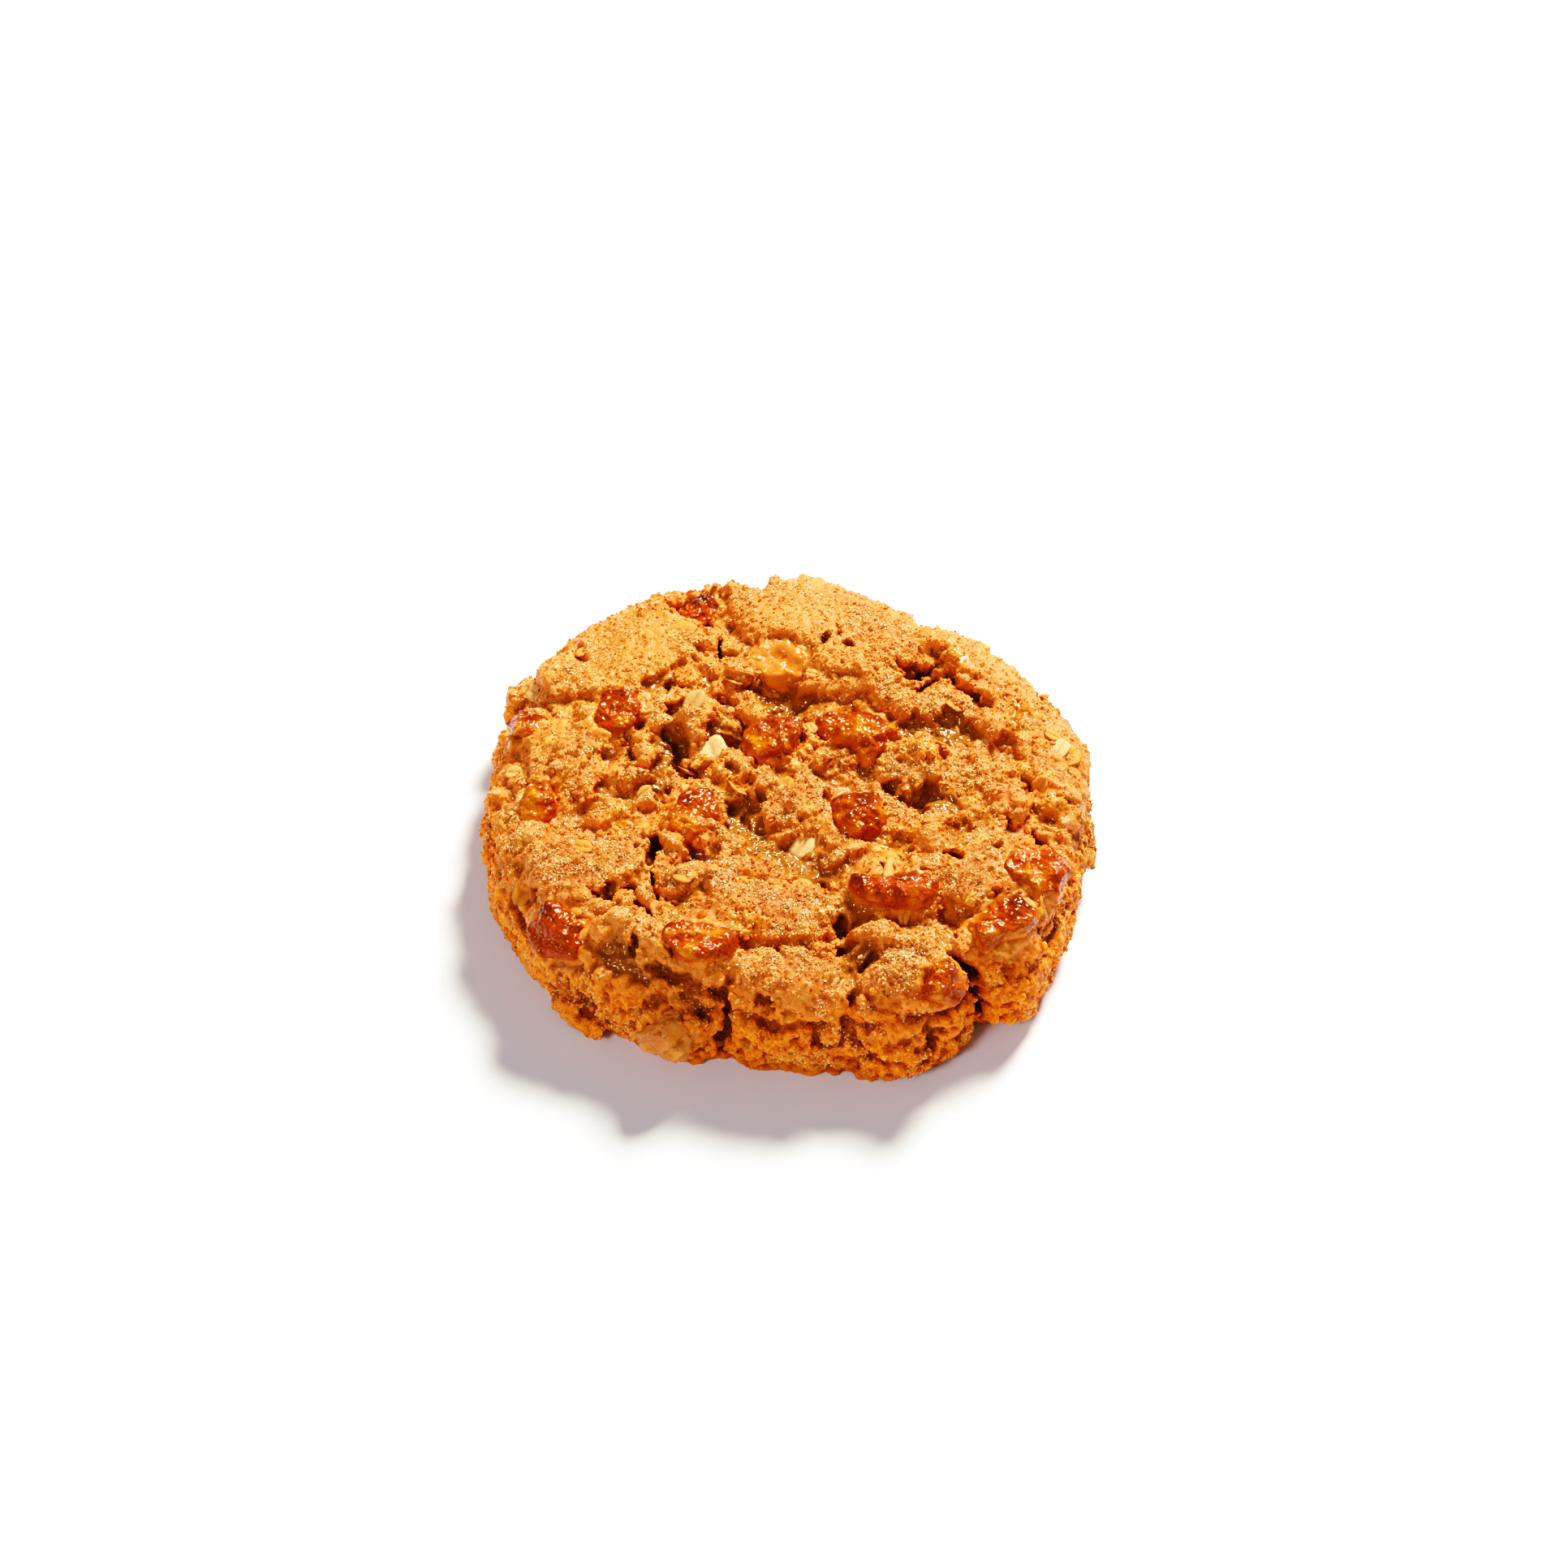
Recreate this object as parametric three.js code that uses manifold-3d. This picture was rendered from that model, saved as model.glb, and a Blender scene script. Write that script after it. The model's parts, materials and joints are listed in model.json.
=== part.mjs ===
// An apple and oat cookie: one thick, craggy round of baked dough with diced apple set into its
// top and side. Rolled oats are fused to the dough. Millimetres, +Z up, flat base on z = 0.
import * as THREE from 'three';
import { mergeVertices } from 'three/addons/utils/BufferGeometryUtils.js';
import Module from 'manifold-3d';

const wasm = await Module();
wasm.setup();

// Driving dimensions of the plain round, before anything is raised on it or cut into it.
const RADIUS = 47.2;
const HEIGHT = 19.5;
const DOME = 2.2;            // fall of the top from its middle to the shoulder
const SHOULDER = 8;          // run of the rounded shoulder, from the top to the widest line
const WAIST = 7;             // height of the widest line of the side
const UNDERCUT = 3.2;        // how far the side tucks in from the widest line to the base
const CENTRE_SHIFT = new THREE.Vector2(-0.3, 0.6);   // brings the uneven round over the origin

// Mesh fineness.
const TOP_STEPS = 40;        // grid steps across the top
const SIDE_STEPS = 8;        // grid steps down the side
const DICE_STEPS = 3;        // grid steps along an edge of an apple dice
const FLAKE_SIDES = 8;
const FLATNESS = 0.02;       // facets within this of one plane are joined

// Shape of the apple dice and their fit in the dough.
const DICE_SOFTNESS = 0.7;    // 0 for a sharp block, 1 for a ball
const DICE_BALL = 0.6;        // radius of that ball, for a block of side 1
const DICE_UNEVENNESS = 0.12;
const POCKET_GAP = 0.3;

// Bulges and dents of the outline: angle in degrees from +X, reach, and half width in degrees.
const OUTLINE = [
  { angle: 62, reach: -5.5, spread: 26 },
  { angle: 128, reach: 1.0, spread: 18 },
  { angle: 222, reach: 2.4, spread: 22 },
  { angle: 259, reach: -1.6, spread: 4 },
  { angle: 297, reach: 2.6, spread: 9 },
  { angle: 307, reach: -2.4, spread: 4 },
  { angle: 318, reach: 4.0, spread: 15 },
];

// Smooth-skinned slabs of dough: middle, half length, half width, turn in degrees, rise.
const SLABS = [
  { x: -24, y: 25, long: 15, wide: 8.5, turn: 30, rise: 1.5 },
  { x: 6, y: 30, long: 17, wide: 9.5, turn: -18, rise: 1.8 },
  { x: 29, y: 22, long: 11, wide: 4.5, turn: -50, rise: 1.2 },
  { x: 41, y: 4, long: 9, wide: 5, turn: -75, rise: 1.0 },
  { x: -32, y: -20, long: 10, wide: 7, turn: 15, rise: 1.6 },
  { x: -36, y: 3, long: 8, wide: 6, turn: 80, rise: 0.8 },
  { x: 0, y: -6, long: 8, wide: 6, turn: 20, rise: 1.6 },
  { x: -4, y: -29, long: 14, wide: 6.5, turn: 5, rise: 1.5 },
  { x: 0, y: -41, long: 11, wide: 4.5, turn: -4, rise: 1.2 },
  { x: 18, y: -40, long: 10, wide: 6.5, turn: 14, rise: 1.6 },
  { x: 28, y: -21, long: 12, wide: 8, turn: -22, rise: 2.0 },
  { x: 18.5, y: 1, long: 5.5, wide: 5, turn: 0, rise: 1.4 },
];

// Cracks and crevices: points on the round, half width and depth. foot is the height on the
// side at which a crack ends, where that isn't the usual one.
const CRACK_FOOT = 5;
const CRACK_CLOSE = 7;        // height over which a crack closes towards its foot
const CRACKS = [
  { at: [[-16, 37], [-12.5, 30], [-9.4, 24.5], [-7.5, 19]], wide: 1.7, deep: 4.5 },
  { at: [[12, 18.5], [18, 20.5], [23, 21.5], [27, 18]], wide: 1.8, deep: 4.2 },
  { at: [[-20, -11], [-21, -17], [-24, -22.5], [-30, -26]], wide: 1.8, deep: 5 },
  { at: [[-27, -32], [-20, -37.5], [-11, -41], [-1, -45]], wide: 1.7, deep: 3.6 },
  { at: [[-10.5, -41.5], [-10, -45.5], [-9.5, -47]], wide: 1.7, deep: 3.8, foot: 0 },
  { at: [[20, -33], [25, -35.5], [30, -40]], wide: 1.8, deep: 4.6 },
  { at: [[36, -2], [38.5, -9], [39, -16]], wide: 2.2, deep: 4.8 },
  { at: [[12, 3], [13.5, -3], [19, -6], [25, -4]], wide: 1.7, deep: 2.8 },
  { at: [[14, 6.5], [20, 7.5], [25, 3.5]], wide: 1.6, deep: 2.6 },
  { at: [[-9, -1], [-5.5, -7], [-4, -11]], wide: 1.6, deep: 3.4 },
];

// Hollows: middle, radius and depth.
const HOLLOWS = [
  { x: 4, y: 4, round: 17, deep: 1.6 },
  { x: -0.6, y: 15, round: 5.5, deep: 2.4 },
  { x: -7.5, y: 10, round: 3.2, deep: 3.0 },
  { x: -14.5, y: 2.5, round: 3.6, deep: 2.8 },
  { x: 2.5, y: -16, round: 4.5, deep: 2.2 },
  { x: 7.5, y: -32, round: 2.8, deep: 3.2 },
  { x: 25.5, y: -13, round: 2.6, deep: 3.0 },
  { x: 33, y: 4, round: 3.0, deep: 2.4 },
  { x: -39, y: -23, round: 2.4, deep: 3.0 },
  { x: -13, y: 32, round: 3.0, deep: 2.4 },
];

// Diced apple: middle on the round, length, width, depth and turn in degrees. rest is how much
// of the depth stands out of the dough.
const DICE = [
  { x: -27, y: 10, long: 9, wide: 7.6, deep: 7, turn: 70, rest: 0.26 },
  { x: 10, y: 7.2, long: 11, wide: 9.4, deep: 8, turn: -30, rest: 0.32 },
  { x: -1, y: 4.2, long: 8.6, wide: 7.4, deep: 7, turn: 15, rest: 0.3 },
  { x: 10.5, y: -10, long: 8.4, wide: 7.6, deep: 7, turn: 20, rest: 0.28 },
  { x: -15, y: -10.5, long: 8, wide: 7, deep: 6, turn: 60, rest: 0.25 },
  { x: 15.6, y: -25.5, long: 11.5, wide: 6.6, deep: 6.5, turn: 4, rest: 0.3 },
  { x: 31, y: -31, long: 10, wide: 6.6, deep: 6, turn: 35, rest: 0.28 },
  { x: 36.5, y: -21, long: 8, wide: 7.4, deep: 6, turn: -40, rest: 0.26 },
  { x: 21.5, y: -41, long: 6.6, wide: 5.6, deep: 5.5, turn: 65, rest: 0.28 },
  { x: -13.5, y: -35.5, long: 9.6, wide: 6.8, deep: 6, turn: 8, rest: 0.3 },
  { x: -35, y: -30, long: 9.6, wide: 6.8, deep: 6, turn: -35, rest: 0.3 },
  { x: -2, y: 22.5, long: 8.4, wide: 6.4, deep: 6, turn: -10, rest: 0.2 },
  { x: -38, y: -5, long: 7, wide: 6, deep: 5.5, turn: 40, rest: 0.26 },
  { x: -41, y: 10, long: 6.6, wide: 6, deep: 5.5, turn: 85, rest: 0.25 },
  { x: -14.5, y: 36, long: 7.6, wide: 6.4, deep: 6, turn: 25, rest: 0.25 },
  { angle: 248, height: 9, long: 7.6, wide: 7, deep: 6, turn: 30, rest: 0.16 },
  { angle: 20, height: 8, long: 8.4, wide: 7, deep: 6.5, turn: -20, rest: 0.2 },
  { angle: 84, height: 9, long: 9, wide: 7, deep: 6.5, turn: 15, rest: 0.2 },
  { angle: 152, height: 7, long: 8.4, wide: 6.6, deep: 6, turn: -35, rest: 0.2 },
];

// Rolled oats: the large flakes that lie open on top, then a scatter over the rest.
const FLAKE_LONG = 7.4;
const FLAKE_WIDE = 5.4;
const FLAKE_THICK = 0.8;
const FLAKE_TILT = 16;        // most that a flake tips, in degrees
const FLAKE_LIFT = 0.1;       // height of its middle over the skin
const FLAKE_BEVEL = 0.84;     // of its upper face, against its lower one
const OPEN_FLAKES = [
  { x: -12.5, y: 4.5, turn: 25 }, { x: -16, y: 9.5, turn: -20 }, { x: 1.7, y: -14.5, turn: -25 },
  { x: -13.5, y: -31, turn: 40 }, { x: -38, y: 19, turn: 65 }, { x: 2.5, y: 24.5, turn: 10 },
  { x: 0, y: 38, turn: -15 }, { x: 40, y: 8, turn: 70 }, { x: 26, y: 10, turn: 30 },
  { x: 8, y: -37, turn: 15 }, { x: 15.5, y: -20.5, turn: 5 }, { x: -20.5, y: -3, turn: -50 },
];
const SCATTERED_FLAKES = 22;
const SCATTER_REACH = 1.55;   // down to just below the widest line of the side
const FLAKE_SEED = 41;
const FLAKE_CLEARANCE = 2.5;  // bare dough left round each apple dice

// Random-looking relief of the dough: lump size and how far it stands out or dips.
const LUMPS = [
  { size: 9, rise: 1.9, seed: 3 },
  { size: 4.6, rise: 1.0, seed: 7 },
];
const WANDER = { size: 6, reach: 1.5, seed: 19 };   // how far cracks and slab edges stray
const SLAB_SMOOTH = 0.8;       // share of the lumps that a slab's skin flattens

const GOLDEN_ANGLE = Math.PI * (3 - Math.sqrt(5));
const UP = new THREE.Vector3(0, 0, 1);
const radians = THREE.MathUtils.degToRad;
const smoothstep = THREE.MathUtils.smoothstep;

// A repeatable number from 0 to 1 for a point of a whole-number grid.
function chance(i, j, k, seed) {
  let n = Math.imul(i, 374761393) + Math.imul(j, 668265263);
  n = (n + Math.imul(k, 1440662683) + Math.imul(seed, 974634777)) | 0;
  n = Math.imul(n ^ (n >>> 13), 1274126177);
  n ^= n >>> 16;
  return (n >>> 0) / 4294967296;
}

// Smooth noise from -1 to 1: grid values blended with an eased weight on each axis.
function smoothNoise(p, size, seed) {
  const at = p.clone().divideScalar(size);
  const base = at.clone().floor();
  const f = at.sub(base);
  const ease = (t) => t * t * (3 - 2 * t);
  const w = [ease(f.x), ease(f.y), ease(f.z)];
  let sum = 0;
  for (let corner = 0; corner < 8; corner++) {
    const bit = [corner & 1, (corner >> 1) & 1, corner >> 2];
    const weight = bit.reduce((share, b, axis) => share * (b ? w[axis] : 1 - w[axis]), 1);
    sum += weight * chance(base.x + bit[0], base.y + bit[1], base.z + bit[2], seed);
  }
  return 2 * sum - 1;
}

// Rounded lumps with creases between them: 1 at a lump's middle, falling to 0 and below between
// lumps. Each grid cell holds one lump at a random place.
function lumps(p, size, seed) {
  const at = p.clone().divideScalar(size);
  const base = at.clone().floor();
  let nearest = Infinity;
  for (let i = -1; i <= 1; i++) for (let j = -1; j <= 1; j++) for (let k = -1; k <= 1; k++) {
    const cell = new THREE.Vector3(base.x + i, base.y + j, base.z + k);
    const place = (axis) => chance(cell.x, cell.y, cell.z, seed + axis);
    const middle = cell.clone().add(new THREE.Vector3(place(0), place(1), place(2)));
    nearest = Math.min(nearest, at.distanceToSquared(middle));
  }
  return 1 - 2.2 * nearest;
}

// Radius of the outline at an angle, with its bulges and dents.
function outline(angle) {
  const turn = THREE.MathUtils.radToDeg(angle);
  return OUTLINE.reduce((radius, bulge) => {
    const away = THREE.MathUtils.euclideanModulo(turn - bulge.angle + 180, 360) - 180;
    return radius + bulge.reach * Math.exp(-((away / bulge.spread) ** 2));
  }, RADIUS);
}

// A point of the plain round and the way its skin faces. reach runs from 0 at the middle of the
// top to 1 at the shoulder, 2 at the foot of the side and 3 at the middle of the base.
function plainSkin(angle, reach) {
  const edge = outline(angle);
  const shoulderHeight = HEIGHT - DOME;
  let radius = 0;
  let height = 0;
  let lean = Math.PI / 2;
  if (reach <= 1) {
    radius = reach * (edge - SHOULDER);
    height = HEIGHT - DOME * reach * reach;
  } else if (reach <= 2) {
    const swing = Math.PI / 2 - Math.PI * (reach - 1);
    const run = swing > 0 ? SHOULDER : UNDERCUT;
    const rise = swing > 0 ? shoulderHeight - WAIST : WAIST;
    radius = edge - run + run * Math.cos(swing);
    height = WAIST + rise * Math.sin(swing);
    lean = Math.atan2(Math.sin(swing) / rise, Math.cos(swing) / run);
  } else {
    radius = (3 - reach) * (edge - UNDERCUT);
    lean = -Math.PI / 2;
  }
  const out = new THREE.Vector3(Math.cos(angle), Math.sin(angle), 0);
  return {
    point: out.clone().multiplyScalar(radius).setZ(height),
    facing: out.clone().multiplyScalar(Math.cos(lean)).setZ(Math.sin(lean)),
  };
}

// The reach of a place seen from above, on the top or the upper half of the side.
function reachOf(x, y) {
  const flat = outline(Math.atan2(y, x)) - SHOULDER;
  const radius = Math.hypot(x, y);
  if (radius <= flat) return radius / flat;
  const swing = Math.acos(Math.min(1, (radius - flat) / SHOULDER));
  return 1.5 - swing / Math.PI;
}

// How much of a slab covers a place: 1 inside, 0 outside, with a short slope at its edge.
function slabCover(slab, x, y) {
  const turn = radians(slab.turn);
  const along = (x - slab.x) * Math.cos(turn) + (y - slab.y) * Math.sin(turn);
  const across = (y - slab.y) * Math.cos(turn) - (x - slab.x) * Math.sin(turn);
  return 1 - smoothstep(Math.hypot(along / slab.long, across / slab.wide), 0.78, 1.08);
}

// Distance in plan from a place to the line through a crack's points.
function crackDistance(crack, x, y) {
  const place = new THREE.Vector2(x, y);
  let nearest = Infinity;
  for (let i = 1; i < crack.at.length; i++) {
    const from = new THREE.Vector2(...crack.at[i - 1]);
    const along = new THREE.Vector2(...crack.at[i]).sub(from);
    const share = place.clone().sub(from).dot(along) / along.lengthSq();
    const foot = from.clone().addScaledVector(along, THREE.MathUtils.clamp(share, 0, 1));
    nearest = Math.min(nearest, foot.distanceTo(place));
  }
  return nearest;
}

// How far the dough stands out of the plain round at one of its points.
function relief(p) {
  const x = p.x + WANDER.reach * smoothNoise(p, WANDER.size, WANDER.seed);
  const y = p.y + WANDER.reach * smoothNoise(p, WANDER.size, WANDER.seed + 1);
  let cover = 0;
  let rise = 0;
  for (const slab of SLABS) {
    const here = slabCover(slab, x, y);
    cover = Math.max(cover, here);
    rise = Math.max(rise, here * slab.rise);
  }
  for (const lump of LUMPS) {
    rise += lump.rise * lumps(p, lump.size, lump.seed) * (1 - SLAB_SMOOTH * cover);
  }
  for (const crack of CRACKS) {
    const foot = crack.foot ?? CRACK_FOOT;
    const open = smoothstep(p.z, foot - CRACK_CLOSE / 2, foot + CRACK_CLOSE / 2);
    rise -= crack.deep * open * Math.exp(-((crackDistance(crack, x, y) / crack.wide) ** 2));
  }
  for (const hollow of HOLLOWS) {
    const away = Math.hypot(x - hollow.x, y - hollow.y) / hollow.round;
    rise -= hollow.deep * Math.exp(-away * away);
  }
  return rise;
}

// A point of the finished skin. The relief dies out towards the foot of the side, so the base
// keeps a clean edge.
function skin(angle, reach) {
  const { point, facing } = plainSkin(angle, reach);
  if (reach >= 2) return { point, facing };
  const fade = 1 - smoothstep(reach, 1.6, 2);
  const raised = point.clone().addScaledVector(facing, relief(point) * fade);
  raised.z = Math.max(raised.z, 0);
  return { point: raised, facing };
}

// The solid inside a closed surface. Only positions are kept, so shared corners can merge.
function solid(geometry) {
  const bare = geometry.clone();
  bare.deleteAttribute('normal');
  bare.deleteAttribute('uv');
  const merged = mergeVertices(bare, 1e-4);
  return new wasm.Manifold(new wasm.Mesh({
    numProp: 3,
    vertProperties: merged.attributes.position.array,
    triVerts: new Uint32Array(merged.index.array),
  }));
}

// The largest single body of a solid, as geometry. Loose scraps left by a cut are dropped.
function geometryOf(shape) {
  const bodies = shape.decompose().sort((a, b) => b.volume() - a.volume());
  const mesh = bodies[0].getMesh();
  const geometry = new THREE.BufferGeometry();
  geometry.setAttribute('position', new THREE.BufferAttribute(mesh.vertProperties, 3));
  geometry.setIndex(new THREE.BufferAttribute(mesh.triVerts, 1));
  geometry.computeVertexNormals();
  return geometry;
}

// Moves every corner of a geometry to a new place worked out from its old one.
function reshape(geometry, place) {
  const position = geometry.attributes.position;
  const corner = new THREE.Vector3();
  for (let i = 0; i < position.count; i++) {
    const moved = place(corner.fromBufferAttribute(position, i));
    position.setXYZ(i, moved.x, moved.y, moved.z);
  }
  return geometry;
}

// The bare dough: a gridded block whose square layers become rings of the cookie.
function doughGeometry() {
  const block = new THREE.BoxGeometry(2, 2, 2, TOP_STEPS, TOP_STEPS, SIDE_STEPS);
  return reshape(block, (c) => {
    const ring = Math.max(Math.abs(c.x), Math.abs(c.y));
    const onX = Math.abs(c.x) >= Math.abs(c.y);
    const share = onX ? c.y / (c.x || 1) : c.x / c.y;
    const quarter = onX ? (c.x >= 0 ? 0 : Math.PI) : (c.y >= 0 ? 1 : -1) * Math.PI / 2;
    const angle = quarter + (onX ? share : -share) * Math.PI / 4;
    const edge = 1e-6;
    if (c.z > 1 - edge) return skin(angle, ring).point;
    if (c.z < edge - 1) return skin(angle, 3 - ring).point;
    return skin(angle, 1.5 - c.z / 2).point;
  });
}

// Turns a piece lying in its own XY plane so that it lies on the skin, then sets it there.
function layOnSkin(geometry, place, turn, lift) {
  const lie = new THREE.Quaternion().setFromUnitVectors(UP, place.facing);
  const spin = new THREE.Quaternion().setFromAxisAngle(UP, turn);
  geometry.applyQuaternion(lie.multiply(spin));
  const at = place.point.clone().addScaledVector(place.facing, lift);
  return geometry.translate(at.x, at.y, at.z);
}

// Where a piece lies: in plan on the top, or at an angle and height on the side.
function placeOf(piece) {
  if (piece.angle === undefined) {
    return skin(Math.atan2(piece.y, piece.x), reachOf(piece.x, piece.y));
  }
  const lift = (piece.height - WAIST) / (piece.height > WAIST ? HEIGHT - DOME - WAIST : WAIST);
  return skin(radians(piece.angle), 1.5 - Math.asin(lift) / Math.PI);
}

// One dice of apple, grown by a margin on every side: a block softened towards a ball.
function diceGeometry(dice, index, margin) {
  const size = new THREE.Vector3(dice.long, dice.wide, dice.deep);
  const block = new THREE.BoxGeometry(1, 1, 1, DICE_STEPS, DICE_STEPS, DICE_STEPS);
  reshape(block, (c) => {
    const ball = c.clone().normalize().multiplyScalar(DICE_BALL);
    const soft = c.clone().lerp(ball, DICE_SOFTNESS);
    soft.multiplyScalar(1 + DICE_UNEVENNESS * smoothNoise(c.clone().addScalar(10 * index), 0.5, 5));
    return soft.multiply(size).addScaledVector(c.clone().normalize(), margin);
  });
  return layOnSkin(block, placeOf(dice), radians(dice.turn), dice.deep * (dice.rest - 0.5));
}

// Oats spread over the top and side by the golden angle, left out where apple shows.
function scatteredFlakes() {
  const flakes = [];
  for (let i = 0; i < SCATTERED_FLAKES; i++) {
    const reach = SCATTER_REACH * Math.sqrt((i + 0.5) / SCATTERED_FLAKES);
    const angle = i * GOLDEN_ANGLE;
    const turn = 360 * chance(i, 0, 0, FLAKE_SEED);
    flakes.push({ place: skin(angle, reach), turn, scale: 0.6 + 0.3 * chance(i, 1, 0, FLAKE_SEED) });
  }
  return flakes;
}

// All the oats of the cookie, each lying on the skin with a slight tilt.
function flakeGeometries() {
  const open = OPEN_FLAKES.map((flake) => ({ place: placeOf(flake), turn: flake.turn, scale: 1 }));
  const dicePoints = DICE.map((dice) => ({ at: placeOf(dice).point, room: dice.long / 2 }));
  const flakes = [...open, ...scatteredFlakes()].filter(({ place }) => dicePoints.every(
    ({ at, room }) => at.distanceTo(place.point) > room + FLAKE_CLEARANCE));
  return flakes.map(({ place, turn, scale }, i) => {
    const tilt = radians(FLAKE_TILT) * (2 * chance(i, 2, 0, FLAKE_SEED) - 1);
    const flake = new THREE.CylinderGeometry(FLAKE_BEVEL / 2, 1 / 2, 1, FLAKE_SIDES);
    flake.rotateX(Math.PI / 2);
    flake.scale(FLAKE_LONG * scale, FLAKE_WIDE * scale, FLAKE_THICK);
    flake.rotateY(tilt);
    return layOnSkin(flake, place, radians(turn), FLAKE_LIFT);
  });
}

// The dough with its oats, and a pocket for each dice of apple.
function doughSolid() {
  const plain = solid(doughGeometry()).simplify(FLATNESS);
  const withOats = flakeGeometries().reduce((sum, flake) => sum.add(solid(flake)), plain);
  return DICE.reduce(
    (rest, dice, i) => rest.subtract(solid(diceGeometry(dice, i, POCKET_GAP))), withOats);
}

const doughMaterial = new THREE.MeshStandardMaterial({ color: 0xd99a52, roughness: 0.6, metalness: 0 });
const appleMaterial = new THREE.MeshStandardMaterial({ color: 0xb9571c, roughness: 0.35, metalness: 0 });

const cookie = new THREE.Group();
cookie.position.set(CENTRE_SHIFT.x, CENTRE_SHIFT.y, 0);

const dough = new THREE.Mesh(geometryOf(doughSolid()), doughMaterial);
dough.name = 'dough';
cookie.add(dough);

DICE.forEach((dice, i) => {
  const apple = new THREE.Mesh(diceGeometry(dice, i, 0), appleMaterial);
  apple.name = `apple_${String(i + 1).padStart(2, '0')}`;
  cookie.add(apple);
});

const part = new THREE.Group();
part.add(cookie);

export default part;
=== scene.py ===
# %% [markdown]
# # An apple oat cookie
#
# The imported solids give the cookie's size, its main lumps and the place of every dice of apple.
# This lesson lays a finer skin over them: the crumbled dough, the sticky apple, the rolled oats and
# the loose crumbs. Every piece is worked out in millimetres with numpy and goes into its mesh in
# metres, in the frame of the solids.

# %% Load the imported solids
import json

import bpy
import numpy as np
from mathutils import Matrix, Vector

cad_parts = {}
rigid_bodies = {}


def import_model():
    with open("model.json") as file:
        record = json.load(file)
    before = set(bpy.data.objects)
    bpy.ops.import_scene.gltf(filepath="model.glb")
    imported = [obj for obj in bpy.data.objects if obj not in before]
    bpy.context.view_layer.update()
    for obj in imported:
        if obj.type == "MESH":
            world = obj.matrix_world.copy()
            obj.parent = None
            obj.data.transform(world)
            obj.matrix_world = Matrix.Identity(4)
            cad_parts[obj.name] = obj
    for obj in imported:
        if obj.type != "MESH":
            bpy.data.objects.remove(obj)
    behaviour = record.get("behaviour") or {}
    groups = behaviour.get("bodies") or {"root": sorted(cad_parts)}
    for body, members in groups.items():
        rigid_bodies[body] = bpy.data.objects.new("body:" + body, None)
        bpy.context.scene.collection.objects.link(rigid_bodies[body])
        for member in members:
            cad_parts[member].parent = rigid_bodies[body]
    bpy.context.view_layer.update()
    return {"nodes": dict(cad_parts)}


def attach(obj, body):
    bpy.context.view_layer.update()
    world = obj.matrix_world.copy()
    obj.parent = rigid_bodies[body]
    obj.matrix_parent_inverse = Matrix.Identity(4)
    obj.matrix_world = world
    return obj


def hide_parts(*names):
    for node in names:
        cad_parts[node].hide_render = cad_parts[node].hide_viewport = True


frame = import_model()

print("solids loaded:", len(frame["nodes"]))

# %% [markdown]
# ## The plain round
#
# Before it cracked in the oven the cookie was a flat-bottomed round with a soft shoulder. Two numbers
# name any point of that round: the angle about the middle, and a reach that runs from 0 in the middle
# of the top, over the shoulder at 1, to the foot of the side at 2 and the middle of the base at 3. The
# sizes repeat those of the solids, so both describe the same cookie.

# %% Sizes of the plain round
MM = 0.001
RADIUS = 47.2
HEIGHT = 19.5
DOME = 2.2
SHOULDER = 8.0
WAIST = 7.0
UNDERCUT = 3.2
CENTRE_SHIFT = np.array([-0.3, 0.6, 0.0])

# Bulges and dents of the outline: angle in degrees, reach in mm, spread in degrees.
OUTLINE = [
    (62, -5.5, 26), (128, 1.0, 18), (222, 2.4, 22), (259, -1.6, 4),
    (297, 2.6, 9), (307, -2.4, 4), (318, 4.0, 15),
]


def outline(angle):
    """Radius of the round at each angle: the plain radius plus a bell curve for each bulge or dent."""
    turn = np.degrees(angle)
    radius = np.full(turn.shape, RADIUS)
    for middle, reach, spread in OUTLINE:
        away = (turn - middle + 180.0) % 360.0 - 180.0
        radius += reach * np.exp(-((away / spread) ** 2))
    return radius


def plain_skin(angle, reach):
    """Points of the plain round and the way its skin faces.

    The top falls with the square of its reach. The side is a quarter ellipse from the top to the
    widest line, then a second one down to the foot. The base is flat.
    """
    edge = outline(angle)
    swing = np.clip(np.pi / 2 - np.pi * (reach - 1), -np.pi / 2, np.pi / 2)
    upper = swing > 0
    run = np.where(upper, SHOULDER, UNDERCUT)
    rise = np.where(upper, HEIGHT - DOME - WAIST, WAIST)
    radius = edge - run + run * np.cos(swing)
    height = WAIST + rise * np.sin(swing)
    lean = np.arctan2(np.sin(swing) / rise, np.cos(swing) / run)
    top = reach <= 1
    base = reach >= 2
    radius = np.where(top, reach * (edge - SHOULDER), radius)
    height = np.where(top, HEIGHT - DOME * reach**2, height)
    radius = np.where(base, (3 - reach) * (edge - UNDERCUT), radius)
    height = np.where(base, 0.0, height)
    out = np.stack([np.cos(angle), np.sin(angle)], axis=-1)
    point = np.concatenate([out * radius[:, None], height[:, None]], axis=1)
    facing = np.concatenate([out * np.cos(lean)[:, None], np.sin(lean)[:, None]], axis=1)
    return point, facing


around = np.linspace(0, 2 * np.pi, 9)
print("outline radii every 45 degrees, mm:", outline(around).round(1))

# %% [markdown]
# ## Repeatable unevenness
#
# Baked dough is uneven at every scale. Three kinds of noise stand for that: a smooth one that strays up
# and down, a lumpy one with round lumps and creases between them, and one of broken chunks, each with its
# own height and tilt. All come from a fixed hash of a whole-number grid, so each run gives the same cookie.

# %% Smooth noise, lumps and chunks
# Farther, in squared grid steps, than the two nearest lumps can be.
FAR = 9.0
LUMP_FALL = 2.2
CHUNK_TILT = 1.6


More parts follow.
